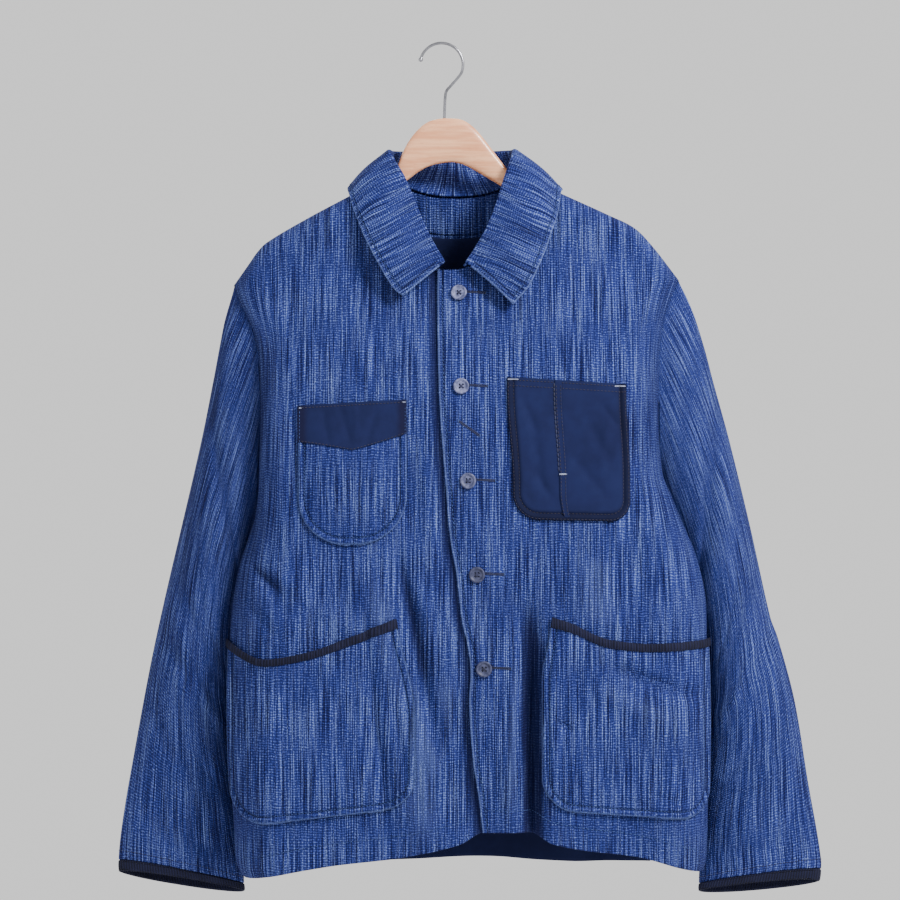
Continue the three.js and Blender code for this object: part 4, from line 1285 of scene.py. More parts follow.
@dataclass(frozen=True)
class BeechFinish:
    """Pale beech under clear varnish: long grain lines and short dark flecks."""

    name: str = "hanger_beech"
    dark: tuple = colour(204, 134, 94)
    light: tuple = colour(228, 168, 126)
    fleck: tuple = colour(170, 108, 74)
    slot: str = "hanger_beech"

    def build(self, effects: SharedEffects) -> Stuff:
        """Builds the material."""
        nodes = Surface(self.name, effects)
        place = nodes.object_place()
        grain = nodes.noise(nodes.stretched(place, (0.012, 0.2, 0.22)), 1, 4, 0.6)
        flecks = nodes.noise(nodes.stretched(place, (0.12, 1.2, 1.3)), 1, 2)
        base = nodes.mix(nodes.step(grain, 0.36, 0.66), self.dark, self.light)
        base = nodes.tint(base, nodes.mottle(place), 0.2, self.light)
        base = nodes.tint(base, nodes.step(flecks, 0.62, 0.74), 0.4, self.fleck)
        return nodes.finish(self.slot, base, (grain, 0.1, 0.0004), (grain, 0.34, 0.46),
                            {"Coat Weight": 0.5, "Coat Roughness": 0.16})


@dataclass(frozen=True)
class SteelFinish:
    """Bright drawn wire with faint scratches along it."""

    name: str = "hook_steel"
    dark: tuple = colour(96, 96, 102)
    light: tuple = colour(170, 170, 176)
    slot: str = "hook_steel"

    def build(self, effects: SharedEffects) -> Stuff:
        """Builds the material."""
        nodes = Surface(self.name, effects)
        place = nodes.object_place()
        marks = nodes.noise(nodes.stretched(place, (2.4, 2.4, 0.5)), 1, 2)
        base = nodes.mix(nodes.mottle(place), self.dark, self.light)
        return nodes.finish(self.slot, base, (marks, 0.08, 0.0002), (marks, 0.16, 0.36),
                            {"Metallic": 1.0})


class Wardrobe:
    """All the stuffs of the jacket and its hanger, built once."""

    def __init__(self) -> None:
        """Builds the materials."""
        effects = SharedEffects()
        patch = TwillFinish("navy_patch", seam=colour(10, 11, 26), seam_width=8.6,
                            seam_softness=4.0, seam_share=0.6, grooves=(1.8, 7.6))
        yoke = TwillFinish("navy_yoke", seam_width=9.0, seam_softness=4.0, seam_share=0.6)
        lining = TwillFinish("navy_lining", colour(15, 19, 46), colour(26, 33, 72))
        self.slub = SlubFinish().build(effects)
        # Its second groove lies at the pocket's rim, a painted shadow line along the pocket's edge.
        self.pocket_slub = SlubFinish(
            "pocket_slub_cloth", shift=310.0, grooves=(7.0, -0.6)).build(effects)
        self.collar_slub = SlubFinish(
            "collar_slub_cloth", shift=710.0, grooves=(6.5, NO_GROOVE)).build(effects)
        self.patch, self.yoke, self.lining = (f.build(effects) for f in (patch, yoke, lining))
        self.binding = BindingFinish().build(effects)
        self.blue_thread = ThreadFinish(
            "blue_thread", colour(18, 36, 86), colour(54, 78, 138), "slub_cloth").build(effects)
        self.plum_thread = ThreadFinish(
            "plum_thread", colour(22, 20, 38), colour(44, 38, 60), "navy_twill").build(effects)
        self.white_thread = ThreadFinish(
            "white_thread", colour(112, 120, 150), colour(176, 182, 204), "slub_cloth",
        ).build(effects)
        self.dark_thread = ThreadFinish(
            "dark_thread", colour(14, 16, 34), colour(44, 48, 84), "navy_twill").build(effects)
        self.horn = HornFinish().build(effects)
        self.beech = BeechFinish().build(effects)
        self.steel = SteelFinish().build(effects)


@dataclass
class Body:
    """Fronts, back and what shows inside the back.

    Attributes:
        inner_columns: Columns of a fine panel from its inner edge to the neck's column.
        outer_columns: Columns from there to the side.
        row_split: Fine rows for each row of the solid.
        groove_place: Where the slub finish sinks its groove; a row of stitches is put there.
        hem_stitch: The hem's row of stitches, up from the hem.
        edge_stitch: The free edge's row of stitches, in from it.
        lap_shade: Where the painted shadow line of the upper front's edge lies on the lower front,
            out from that edge.
        facing_row: First row of the solid, in fine rows, that the neck facing covers.
        lining_row: The same of the neck lining.
        hem_rows: Rows of the solid that the hem's lining covers.
    """

    finishes: Wardrobe
    inner_columns: int = 32
    outer_columns: int = 66
    row_split: int = 7
    groove_place: float = 6.0
    hem_groove: float = 6.7
    hem_stitch: float = 24.0
    edge_stitch: float = 5.5
    lap_shade: float = 2.4
    facing_row: int = 23
    lining_row: int = 19
    hem_rows: int = 3
    pieces: dict[str, Piece] = field(default_factory=dict)

    def fine_grid(self, name: str, reverse: bool = False) -> Array:
        """Outer points of a panel, with its columns along +X on a front and -X on the back."""
        columns = fine_columns(self.inner_columns, self.outer_columns)[:, None]
        rows = np.linspace(0, ROWS, ROWS * self.row_split + 1)[None]
        points = PANELS[name].points(columns, rows)
        return points[::-1] if reverse else points

    def middle(self, points: Array, depth: float = WALL / 2) -> ClothGrid:
        """The grid at a depth under the outer face, with the cloth's flat places and no seams."""
        return ClothGrid(points, uv=body_uv(points)).moved(-depth)

    def front(self, side: Side) -> None:
        """Builds one front, with the distance from its free edge and from its hem line."""
        name = f"front_{side.value}"
        points = self.fine_grid(name, reverse=side is Side.RIGHT)
        cloth = self.middle(points)
        x, z = points[..., 0], points[..., 2]
        hem = FORM.hem_left if side is Side.LEFT else FORM.hem_right
        from_hem = np.abs(z - hem(x) - self.hem_stitch) + self.hem_groove
        from_edge = np.abs(x - PANELS[name].inner(z)) + (self.groove_place - self.edge_stitch)
        cloth.seam = np.minimum(from_edge, from_hem)
        # Painted shade in the folds and creases and beside the side's and the armhole's seams.
        cloth.painted_shading = FORM.shade(x, z, True)
        if side is Side.RIGHT:
            # Painted shadow of the upper front's edge on the lower front: a dark groove line and a
            # band of painted shade beside the edge.
            off_lap = x - FORM.front_edge(z)
            from_lap_shadow = np.abs(off_lap + self.lap_shade) * 0.35 + self.groove_place
            cloth.seam = np.minimum(cloth.seam, from_lap_shadow)
            cloth.painted_shading = cloth.painted_shading + 9 * bell(off_lap + 5, 6)
        self.pieces[name] = make_sheet(name, cloth, WALL, self.finishes.slub)

    def back(self) -> None:
        """Builds the back in one piece, then its neck facing, its lining and its hem's lining."""
        left = self.fine_grid("back_left", reverse=True)
        points = np.concatenate([left, self.fine_grid("back_right")[1:]])
        x, z = points[..., 0], points[..., 2]
        cloth = self.middle(points)
        cloth.seam = np.abs(z - FORM.hem_back(x) - self.hem_stitch) + self.hem_groove
        # Painted shade in the folds and creases and beside the side's and the armhole's seams.
        cloth.painted_shading = FORM.shade(x, z, False)
        make_sheet("back", cloth, WALL, self.finishes.slub)
        self.inner_layers(points)

    def inner_layers(self, points: Array) -> None:
        """Builds the layers that show inside the back, each a stretch of the back's own grid."""
        inside = self.middle(points, WALL + SEAM_GAP + TRIM_WALL / 2)
        split, end = self.row_split, self.outer_columns + 2 * self.inner_columns
        facing = self.facing_row * split + 3
        neck, hem = slice(self.outer_columns, end + 1), slice(self.outer_columns // 2, end + 22)
        layers = [
            ("back_neck_facing", neck, slice(facing, ROWS * split + 1), self.finishes.slub),
            ("back_neck_lining", neck, slice(self.lining_row * split, facing),
             self.finishes.lining),
            ("back_hem_lining", hem, slice(0, self.hem_rows * split + 1), self.finishes.lining),
        ]
        for node, columns, rows, stuff in layers:
            cloth = ClothGrid(inside.points[columns, rows], uv=inside.uv[columns, rows])
            make_sheet(node, cloth, TRIM_WALL, stuff, suffix="layer")

    def topstitch(self) -> None:
        """Sews the free edge of the upper front and both hems."""
        row = StitchRow(pitch=4.6, length=3.0, radius=0.42)
        thread = self.finishes.blue_thread
        finder = FaceFinder(self.pieces["front_left"])
        z, x = np.arange(-846, -262, 2.0), np.arange(48, 276, 2.0)
        rows = [finder.sew(row, FORM.front_edge(z) + self.edge_stitch, z),
                finder.sew(row, x, FORM.hem_left(x) + self.hem_stitch)]
        make_threads("front_left_topstitch", rows, row, thread)
        finder = FaceFinder(self.pieces["front_right"])
        x = np.arange(-212, 34, 2.0)
        rows = [finder.sew(row, x, FORM.hem_right(x) + self.hem_stitch)]
        make_threads("front_right_topstitch", rows, row, thread)

    def build(self) -> None:
        """Builds all of the body."""
        self.front(Side.RIGHT)
        self.front(Side.LEFT)
        self.back()
        self.topstitch()


@dataclass(frozen=True)
class SleeveCrease:
    """A soft trough round a sleeve, at a share of its length, that leans with the angle."""

    at: float
    half: float
    deep: float
    around: float
    lean: float = 0.05
    spread: float = 9.0  # how much of the way round it reaches; large for all of it

    def depth(self, share: Array, angle: Array) -> Array:
        """A bell of the distance along the sleeve, times a bell of the angle."""
        line = self.at + self.lean * np.cos(angle - self.around)
        turn = (angle - self.around + np.pi) % (2 * np.pi) - np.pi
        return self.deep * bell(share - line, self.half) * bell(turn, self.spread)


SLEEVE_CREASES = listed(SleeveCrease, [
    (0.22, 0.035, 5, 0.4), (0.45, 0.03, 4, 1.2), (0.53, 0.028, 4, 2.2), (0.72, 0.035, 3, 0.9),
    (0.12, 0.02, 3, 0.7, 0.12, 0.9), (0.3, 0.018, 2.6, 1.0, 0.15, 0.8),
    (0.38, 0.016, -2.4, 1.6, 0.12, 0.9), (0.49, 0.014, -2.6, 1.0, 0.1, 1.0),
    (0.58, 0.016, 2.6, 0.8, 0.16, 0.8), (0.64, 0.016, -2.2, 1.7, 0.14, 0.9),
    (0.8, 0.018, 2.2, 1.5, 0.12, 0.9), (0.88, 0.016, -1.6, 1.0, 0.1, 0.9),
    (0.34, 0.02, 3, 4.6, 0.12, 0.9), (0.55, 0.02, 3, 4.4, 0.12, 0.9),
    (0.75, 0.02, 2.4, 4.9, 0.1, 0.9),
])


@dataclass
class Sleeve:
    """One sleeve, lofted from the armhole to the cuff, with its binding.

    Attributes:
        around: Points around it, a multiple of 4.
        rows: Rows along it.
        cuff_share: Where the cloth ends and the binding begins.
        gap: From the sleeve's head to the body panel's edge; below 0 it reaches under it.
        head_depth: Least half depth of the head just below the shoulder's end.
        fade: Share of the length over which the armhole's shape fades.
        cuff_lift: How far the cuff's front rises over its middle, and its back falls.
        binding_rows: Rows of the binding's grid.
        binding_lift: How much thicker the binding is than the cloth, and how far it stands out.
        cuff_stitch_row: Row of the grid that the cuff's stitches follow, counted from its end.
        tuck: How far the sleeve's inner edge is drawn in behind the body's side, by height.
    """

    side: Side
    finishes: Wardrobe
    around: int = 96
    rows: int = 190
    cuff_share: float = 0.9795
    gap: float = -0.6
    head_depth: float = 4.5
    fade: float = 0.42
    cuff_lift: float = 7.0
    binding_rows: int = 9
    binding_lift: float = 0.8
    cuff_stitch_row: int = -4
    inner_end_z: float = -925.0

    middle_y: Curve = through([(0, 2), (0.35, 22), (0.7, 22), (1, 16)])
    half_depth: Curve = through([(0, 34), (0.2, 52), (0.4, 58), (0.6, 50), (0.8, 34), (1, 17)])
    tuck: Curve = through([(-925, 8), (-720, 10.5), (-600, 12), (-550, 12), (-517, 0)])

    def __post_init__(self) -> None:
        """Takes the outline of this side in the front view."""
        if self.side is Side.LEFT:
            self.outer_end_z = -914.0
            self.outer_x = through([
                (-914, 412), (-891, 413.5), (-803, 399), (-716, 384.7), (-648, 366.5),
                (-626, 358.5), (-528, 336.5), (-431, 313), (-369, 296), (-333.6, 286.7),
                (-283, 270.5), (-257, 259),
            ])
            self.inner_x = through([
                (-925, 292), (-860, 295), (-800, 298), (-716, 299), (-650, 297.5), (-598, 295),
                (-552, 285), (-517, 265),
            ])
        else:
            self.outer_end_z = -904.0
            self.outer_x = through([
                (-904, -351), (-888, -351.3), (-857, -348.3), (-804, -340), (-649, -311),
                (-433, -261), (-367, -247.6), (-317, -238), (-300, -234.5), (-262, -226),
            ])
            self.inner_x = through([
                (-925, -226), (-860, -231), (-800, -236), (-700, -237), (-620, -234),
                (-568, -228), (-540, -218), (-517, -206.5),
            ])

    def angles(self) -> Array:
        """Angles around, from the underarm over the front to the top and back."""
        return turns(self.around)

    def armhole(self) -> Array:
        """The armhole as one loop: up the front's seam from the underarm, down the back's."""
        angle = self.angles()
        rows = ROWS - UNDERARM_ROW
        up = UNDERARM_ROW + rows * np.minimum(angle, np.pi) / np.pi
        down = ROWS - rows * np.maximum(angle - np.pi, 0) / np.pi
        name = self.side.value
        front = PANELS[f"front_{name}"].points(np.array(float(COLUMNS)), up)
        back = PANELS[f"back_{name}"].points(np.array(float(COLUMNS)), down)
        loop = np.where((angle <= np.pi)[:, None], front, back)
        loop[:, 0] += self.side.outwards * self.gap
        below = loop[:, 2].max() - loop[:, 2]
        least = np.where(below < 40, self.head_depth * np.sqrt(np.minimum(below / 9, 1)), 0)
        fore, aft = np.minimum(loop[:, 1], -least), np.maximum(loop[:, 1], least)
        loop[:, 1] = np.where(below < 40, np.where(angle <= np.pi, fore, aft), loop[:, 1])
        loop[0, 1] = (front[0, 1] + back[0, 1]) / 2
        return loop

    def crease_depth(self, share: Array, angle: Array) -> Array:
        """How deep the creases sink the sleeve."""
        return sum(crease.depth(share, angle) for crease in SLEEVE_CREASES)

    def ring(self, angle: Array, share: Array) -> Array:
        """A slanted oval between the inner and the outer edge of the front view.

        Across, it goes from one edge to the other with half a cosine; in depth it is a sine of
        the sleeve's half depth, less its creases.
        """
        outer_z = blend(FORM.shoulder_end_z, self.outer_end_z, share)
        inner_z = blend(FORM.underarm_z, self.inner_end_z, share)
        reach = (1 - np.cos(angle)) / 2
        tuck = self.tuck(inner_z) * self.side.outwards
        x = blend(self.inner_x(inner_z) - tuck, self.outer_x(outer_z), reach)
        z = blend(inner_z, outer_z, reach) + self.cuff_lift * rise(0.85, 1, share) * np.sin(angle)
        depth = self.half_depth(share) - self.crease_depth(share, angle)
        depth = depth - 0.6 * unevenness(x * 1.3, z) * rise(0, 0.1, share)
        y = self.middle_y(share) - depth * np.sin(angle)
        return np.stack([x, y, z], axis=-1)

    def points(self, shares: Array) -> Array:
        """The sleeve's outer points: its ring, drawn to the armhole by a fading share."""
        angle = self.angles()[:, None]
        start = self.ring(angle, np.zeros((1, 1)))
        pull = (1 - np.minimum(shares / self.fade, 1)) ** 1.6
        drawn = (self.armhole()[:, None] - start) * pull[None, :, None]
        points = self.ring(angle, shares[None]) + drawn
        return points if self.side is Side.RIGHT else np.roll(points[::-1], 1, axis=0)

    def flat_places(self, points: Array) -> Array:
        """Flat places in metres: the run around from the sleeve's top line, and along it."""
        closed = np.concatenate([points, points[:1]])
        run = run_lengths(closed, 0)
        across = run - run[len(closed) // 2][None]
        along = run_lengths(closed, 1).mean(axis=0)[None] + np.zeros_like(across)
        return np.stack([across, -along], axis=-1) * MM

    def build(self) -> None:
        """Builds the sleeve's cloth, its binding and the binding's stitches."""
        name, finishes = self.side.value, self.finishes
        shares = np.linspace(0, self.cuff_share, self.rows)
        points = self.points(shares)
        outer = ClothGrid(points, True, self.flat_places(points))
        angle = self.angles()[:, None]
        # Painted shade in the creases, and a band of painted shade along the sleeve's inner edge
        # beside the body.
        painted_shading = 0.6 * self.crease_depth(shares[None], angle) + 2.2 * bell(np.cos(angle) - 1, 0.3)
        outer.painted_shading = np.roll(painted_shading[::-1], 1, axis=0) if self.side is Side.LEFT else painted_shading
        cloth = outer.moved(WALL * (rise(0, 0.07, shares) - 0.5)[None])
        make_sheet(f"sleeve_{name}", cloth, WALL, finishes.slub,
                   inside=finishes.lining)
        points = self.points(np.linspace(self.cuff_share + 0.0006, 1, self.binding_rows))
        bulge = 0.5 * np.sin(np.pi * np.linspace(0, 1, self.binding_rows))[None]
        edge = ClothGrid(points, True).moved(self.binding_lift + bulge)
        make_sheet(f"cuff_binding_{name}", edge, WALL + self.binding_lift, finishes.binding,
                   suffix="rib")
        row = StitchRow(pitch=3.4, length=2.3, radius=0.3)
        closed = outer.moved(WALL).closed()[:, self.cuff_stitch_row]
        normals = np.concatenate([outer.normals, outer.normals[:1]])[:, self.cuff_stitch_row]
        make_threads(f"cuff_{name}_topstitch", [row.ends(closed, normals)], row,
                     finishes.dark_thread)


COLLAR_CREST = [
    through([(-1, 3.3), (-0.89, -13), (-0.78, -27), (-0.67, -40), (-0.56, -56), (-0.44, -52),
             (-0.22, -22), (0, 15), (0.22, 50), (0.44, 76), (0.56, 78), (0.67, 68), (0.78, 57),
             (0.89, 44), (1, 27)]),
    through([(-1, -50), (-0.89, -44), (-0.78, -35), (-0.67, -23), (-0.56, -8), (-0.44, 26),
             (-0.22, 50), (0, 56), (0.22, 50), (0.44, 26), (0.56, -8), (0.67, -23),
             (0.78, -35), (0.89, -44), (1, -50)]),
    through([(-1, -241), (-0.89, -212), (-0.78, -180), (-0.67, -148), (-0.56, -119),
             (-0.44, -115), (0, -113), (0.44, -114), (0.56, -119), (0.67, -150), (0.78, -184),
             (0.89, -213), (1, -241)]),
]
LEAF_EDGE = [
    through([(-1, -40.8), (-0.89, -53), (-0.78, -70), (-0.67, -85), (-0.56, -97),
             (-0.44, -103), (-0.33, -96), (-0.22, -70), (-0.11, -32), (0, 15), (0.11, 60),
             (0.22, 98), (0.33, 124), (0.44, 131), (0.56, 128.5), (0.67, 119), (0.78, 107),
             (0.89, 93), (1, 77.2)]),
    through([(-1, -59), (-0.89, -58), (-0.78, -52), (-0.67, -40), (-0.56, -18), (-0.44, 8),
             (-0.33, 34), (-0.22, 52), (0, 62), (0.22, 52), (0.33, 34), (0.44, 8), (0.56, -18),
             (0.67, -40), (0.78, -53), (0.89, -59), (1, -61)]),
    through([(-1, -277.3), (-0.89, -267), (-0.78, -238), (-0.67, -208), (-0.56, -176),
             (-0.44, -157), (-0.33, -160), (-0.22, -168), (0, -178), (0.22, -168),
             (0.33, -161), (0.44, -160), (0.56, -178), (0.67, -208), (0.78, -240),
             (0.89, -268), (1, -287)]),
]


@dataclass
class Collar:
    """The collar: a stand that rises from the neckline, and a leaf that falls from its crest.

    Its reach runs from -1 at the right front end round the back to 1 at the left front end.

    Attributes:
        fold: Half the width of the turn at the crest.
        turn: Depth of that turn, in half widths.
        crown: How far the leaf's middle stands out.
        ripple: Height of the small waves along the leaf.
        clearance: From the front's or back's outer face to the leaf's middle, at least.
        smoothing: Rounds of averaging over the leaf where it is kept clear.
        foot: How far the stand sits above the panels' top edges.
    """

    finishes: Wardrobe
    wall: float = 2.6
    fold: float = 3.2
    turn: float = 1.2
    crown: float = 5.0
    ripple: float = 0.8
    clearance: float = 4.8
    smoothing: int = 14
    foot: float = 2.5
    stations: int = 240
    stand_rows: int = 12
    fold_rows: int = 10
    leaf_rows: int = 40
    stitch_inset: float = 6.5

    def coarse_seats(self) -> Array:
        """Where the stand sits, a little above the middle of the panels' walls.

        The places follow the panels' own neck columns, round from the right front's end.
        """
        columns, rows = np.arange(COLUMNS + 1.0)[:, None], np.arange(ROWS + 1.0)[None]
        grids = {name: panel.points(columns, rows) for name, panel in PANELS.items()}
        left, right = grids["front_left"], grids["front_right"][::-1]
        back = np.concatenate([grids["back_left"][::-1], grids["back_right"][1:]])

        def seats(grid: Array) -> Array:
            normals = ClothGrid(grid).normals[1:-1, -1]
            along = grid[2:, -1] - grid[:-2, -1]
            up = unit(np.cross(normals, along)) * self.foot
            return grid[1:-1, -1] + up - normals * WALL / 2

        on_left, on_right, on_back = seats(left), seats(right), seats(back)
        neck_left, neck_right = COLUMNS - NECK_COLUMNS, COLUMNS + NECK_COLUMNS
        right_corner = (on_right[neck_left - 1] + on_back[neck_right - 1]) / 2
        left_corner = (on_left[NECK_COLUMNS - 1] + on_back[neck_left - 1]) / 2
        return np.concatenate([
            on_right[COLUMNS - 2:neck_left - 1:-1], right_corner[None],
            on_back[neck_right - 2:neck_left - 1:-1], left_corner[None],
            on_left[NECK_COLUMNS - 2::-1],
        ])

    def off_body(self, p: Array) -> Array:
        """Keeps points of the leaf clear of the shoulders and of the panels under it."""
        clear = p.copy()
        x, y, z = p[..., 0], p[..., 1], p[..., 2]
        across = np.minimum(np.abs(y) / FORM.roll, 1)
        over = across < 0.75
        roof = FORM.shoulder_line(x) - FORM.roll * (1 - np.sqrt(1 - across * across))
        clear[..., 2] = np.where(over, np.maximum(z, roof + self.clearance * 1.25), z)
        below = ~over & (z < FORM.shoulder_line(x))
        front = np.minimum(y, FORM.front_y(x, z) - self.clearance)
        back = np.maximum(y, FORM.back_y(x, z) + self.clearance)
        clear[..., 1] = np.where(below, np.where(y < 0, front, back), y)
        return clear

    def grid(self) -> ClothGrid:
        """The middle of the collar's wall.

        The stand is straight from seat to fold, the fold is a parabola over the crest, and the
        leaf is straight to its edge with a crown of half a sine.
        """
        reach = np.linspace(-1, 1, self.stations)
        seats = self.coarse_seats()
        knots = np.linspace(-1, 1, len(seats))
        seat = np.stack([through(list(zip(knots, seats[:, k])))(reach) for k in range(3)], -1)
        top = np.stack([curve(reach) for curve in COLLAR_CREST], -1)
        edge = np.stack([curve(reach) for curve in LEAF_EDGE], -1)
        to_seat, to_edge = seat - top, unit(edge - top)
        fold = self.fold * np.clip(np.linalg.norm(to_seat, axis=-1, keepdims=True) / 14, 0.6, 1)
        to_seat = unit(to_seat)
        apart, down = unit(to_edge - to_seat), unit(to_edge + to_seat)
        inner = top - apart * fold + down * fold * self.turn
        outer = top + apart * fold + down * fold * self.turn
        control = top - down * fold * self.turn
        share = np.linspace(0, 1, self.stand_rows, endpoint=False)[None, :, None]
        stand = blend(seat[:, None], inner[:, None], share)
        share = np.linspace(0, 1, self.fold_rows, endpoint=False)[None, :, None]
        turn = (inner[:, None] * (1 - share) ** 2 + 2 * control[:, None] * share * (1 - share)
                + outer[:, None] * share**2)
        share = np.linspace(0, 1, self.leaf_rows)[None, :, None]
        leaf = blend(outer[:, None], edge[:, None], share)
        leaf = leaf + apart[:, None] * self.crown * np.sin(np.pi * share)
        ripple = self.ripple * np.sin(reach * 31)[:, None, None] * rise(0.2, 1, share)
        leaf = leaf + apart[:, None] * ripple
        shift = self.off_body(leaf) - leaf
        for _ in range(self.smoothing):
            for axis in (0, 1):
                shift = smoothed(shift, axis)
        leaf = leaf + shift
        points = np.concatenate([stand, turn, leaf], axis=1)
        cloth = ClothGrid(points)
        cloth.uv = self.flat_places(points)
        from_edge = run_lengths(points[:, ::-1], 1)[:, ::-1]
        ends = run_lengths(points, 0)
        from_end = np.minimum(ends, ends[-1:] - ends)
        on_leaf = np.arange(points.shape[1]) > self.stand_rows + self.fold_rows
        cloth.seam = np.where(on_leaf[None], np.minimum(from_edge, from_end), FAR)
        return cloth

    def flat_places(self, points: Array) -> Array:
        """Flat places in metres: along the collar by its crest, and across it.

        The warp runs across the collar, and leans to the level on the two front ends.
        """
        crest = self.stand_rows + self.fold_rows // 2
        along = run_lengths(points, 0)[:, crest]
        along = along - along.mean()
        across = run_lengths(points, 1)
        across = across - across[:, crest:crest + 1]
        lean = -0.42 * np.tanh(along / 60)
        return np.stack([along[:, None] - lean[:, None] * across, across], axis=-1) * MM

    def build(self) -> None:
        """Builds the collar and its topstitching."""
        cloth = self.grid()
        make_sheet("collar", cloth, self.wall, self.finishes.collar_slub)
        self.topstitch(cloth)

    def topstitch(self, cloth: ClothGrid) -> None:
        """Sews a row inside the leaf's edge and its two ends."""
        face = cloth.points + cloth.normals * self.wall / 2
        run = run_lengths(face[:, ::-1], 1)[:, ::-1]
        ends = run_lengths(face, 0)[:, -1]
        inside = (ends > self.stitch_inset) & (ends < ends[-1] - self.stitch_inset)
        line = [
            [np.interp(self.stitch_inset, run[k, ::-1], face[k, ::-1, axis]) for axis in range(3)]
            for k in np.flatnonzero(inside)
        ]
        row = StitchRow(pitch=4.4, length=2.9, radius=0.38)
        rows = [row.ends(np.array(line), cloth.normals[inside, -4])]
        stretch = slice(self.stand_rows + self.fold_rows + 2, -4)
        for column in (2, -3):
            rows.append(row.ends(face[column, stretch], cloth.normals[column, stretch]))
        make_threads("collar_topstitch", rows, row, self.finishes.blue_thread)


@dataclass
class Pocket:
    """A patch pocket that lies on a front.

    Attributes:
        from_x: x of its side nearer -X, by height.
        to_x: x of its side nearer +X, by height.
        corner: Width of the rounding at each bottom corner.
        tilt: Slope of its bottom.
        mouth: Height of its top edge over its level top, by x.
        puff: How far its middle stands out.
        lift: How far its rim stands off the front.
        trough: Depth of the trough along its outer row of stitches.
    """

    name: str
    from_x: Curve
    to_x: Curve
    bottom: float
    top: float
    corner: Pair
    tilt: float
    mouth: Curve
    puff: float
    creases: list[Crease] = field(default_factory=list)
    columns: int = 90
    rows: int = 92
    lift: float = 0.5
    trough: float = 1.3

    def inset_at(self, radius: float, height: Array) -> Array:
        """How far a side is drawn in near the bottom: a quarter circle's sagitta."""
        left = 1 - np.minimum(height / radius, 1)
        return radius * (1 - np.sqrt(1 - left * left))

    def places(self, across: Array, up: Array) -> tuple[Array, Array]:
        """Places of the front view at shares of the pocket's width and of its height."""
        height = (self.top - self.bottom) * up
        level = self.bottom + height
        start = self.from_x(level) + self.inset_at(self.corner[0], height)
        end = self.to_x(level) - self.inset_at(self.corner[1], height)
        x = blend(start, end, across)
        middle = (self.from_x(level) + self.to_x(level)) / 2
        z = level + self.tilt * (x - middle) * (1 - up) + self.mouth(x) * up**2
        return x, z

    def base(self, across: Array, up: Array) -> Array:
        """Points on the front under the pocket."""
        x, z = self.places(across, up)
        under = FORM.under_front_y(x, z)
        y = np.where(x < FORM.front_edge(z), under, FORM.front_y(x, z))
        return np.stack([x, y, z], axis=-1)

    def puffed(self, across: Array, up: Array) -> Array:
        """How far the pocket stands off the front: flush at its rim, puffed in its middle."""
        body = np.sin(np.pi * across) * np.sin(np.pi * (0.12 + 0.8 * up))
        return self.lift + self.puff * body

    def layer(self, across: Array, up: Array, lift: float) -> ClothGrid:
        """A grid over the pocket, lifted along the normals of the front under it."""
        base = self.base(across, up)
        x, z = base[..., 0], base[..., 2]
        creased = sum(crease.depth(x, z) for crease in self.creases)
        # Painted shade in the front's folds and in the pocket's creases.
        painted_shading = 0.6 * FORM.fold_depth(x, z, True) + creased
        cloth = ClothGrid(base, uv=base[..., [0, 2]] * MM, painted_shading=painted_shading)
        return cloth.moved(self.puffed(across, up) - creased + lift)

    def outline(self) -> Array:
        """The sewn rim in the front view: down the lower-x side, along the bottom and up."""
        share, down = np.linspace(0, 1, 120), np.linspace(1, 0, 200)
        left = np.stack(self.places(np.zeros(200), down), -1)
        low = np.stack(self.places(share, np.zeros(120)), -1)
        right = np.stack(self.places(np.ones(200), down[::-1]), -1)
        return even_line(np.concatenate([left, low[1:], right[1:]]), 1.5)

    def cloth(self) -> ClothGrid:
        """The pocket's own cloth, with its distance from the sewn rim."""
        s = np.linspace(0, 1, self.columns)
        across = blend(s, (1 - np.cos(np.pi * s)) / 2, 0.6)[:, None]
        up = (np.linspace(0, 1, self.rows) ** 1.4)[None]
        across, up = np.broadcast_arrays(across, up)
        cloth = self.layer(across, up, POCKET_WALL / 2)
        seam = distance_to_line(np.stack(self.places(across, up), -1), self.outline())
        cloth = cloth.moved(1.1 * bell(seam - 3, 2) - self.trough * bell(seam - 7, 1.8))
        cloth.seam = seam
        return cloth


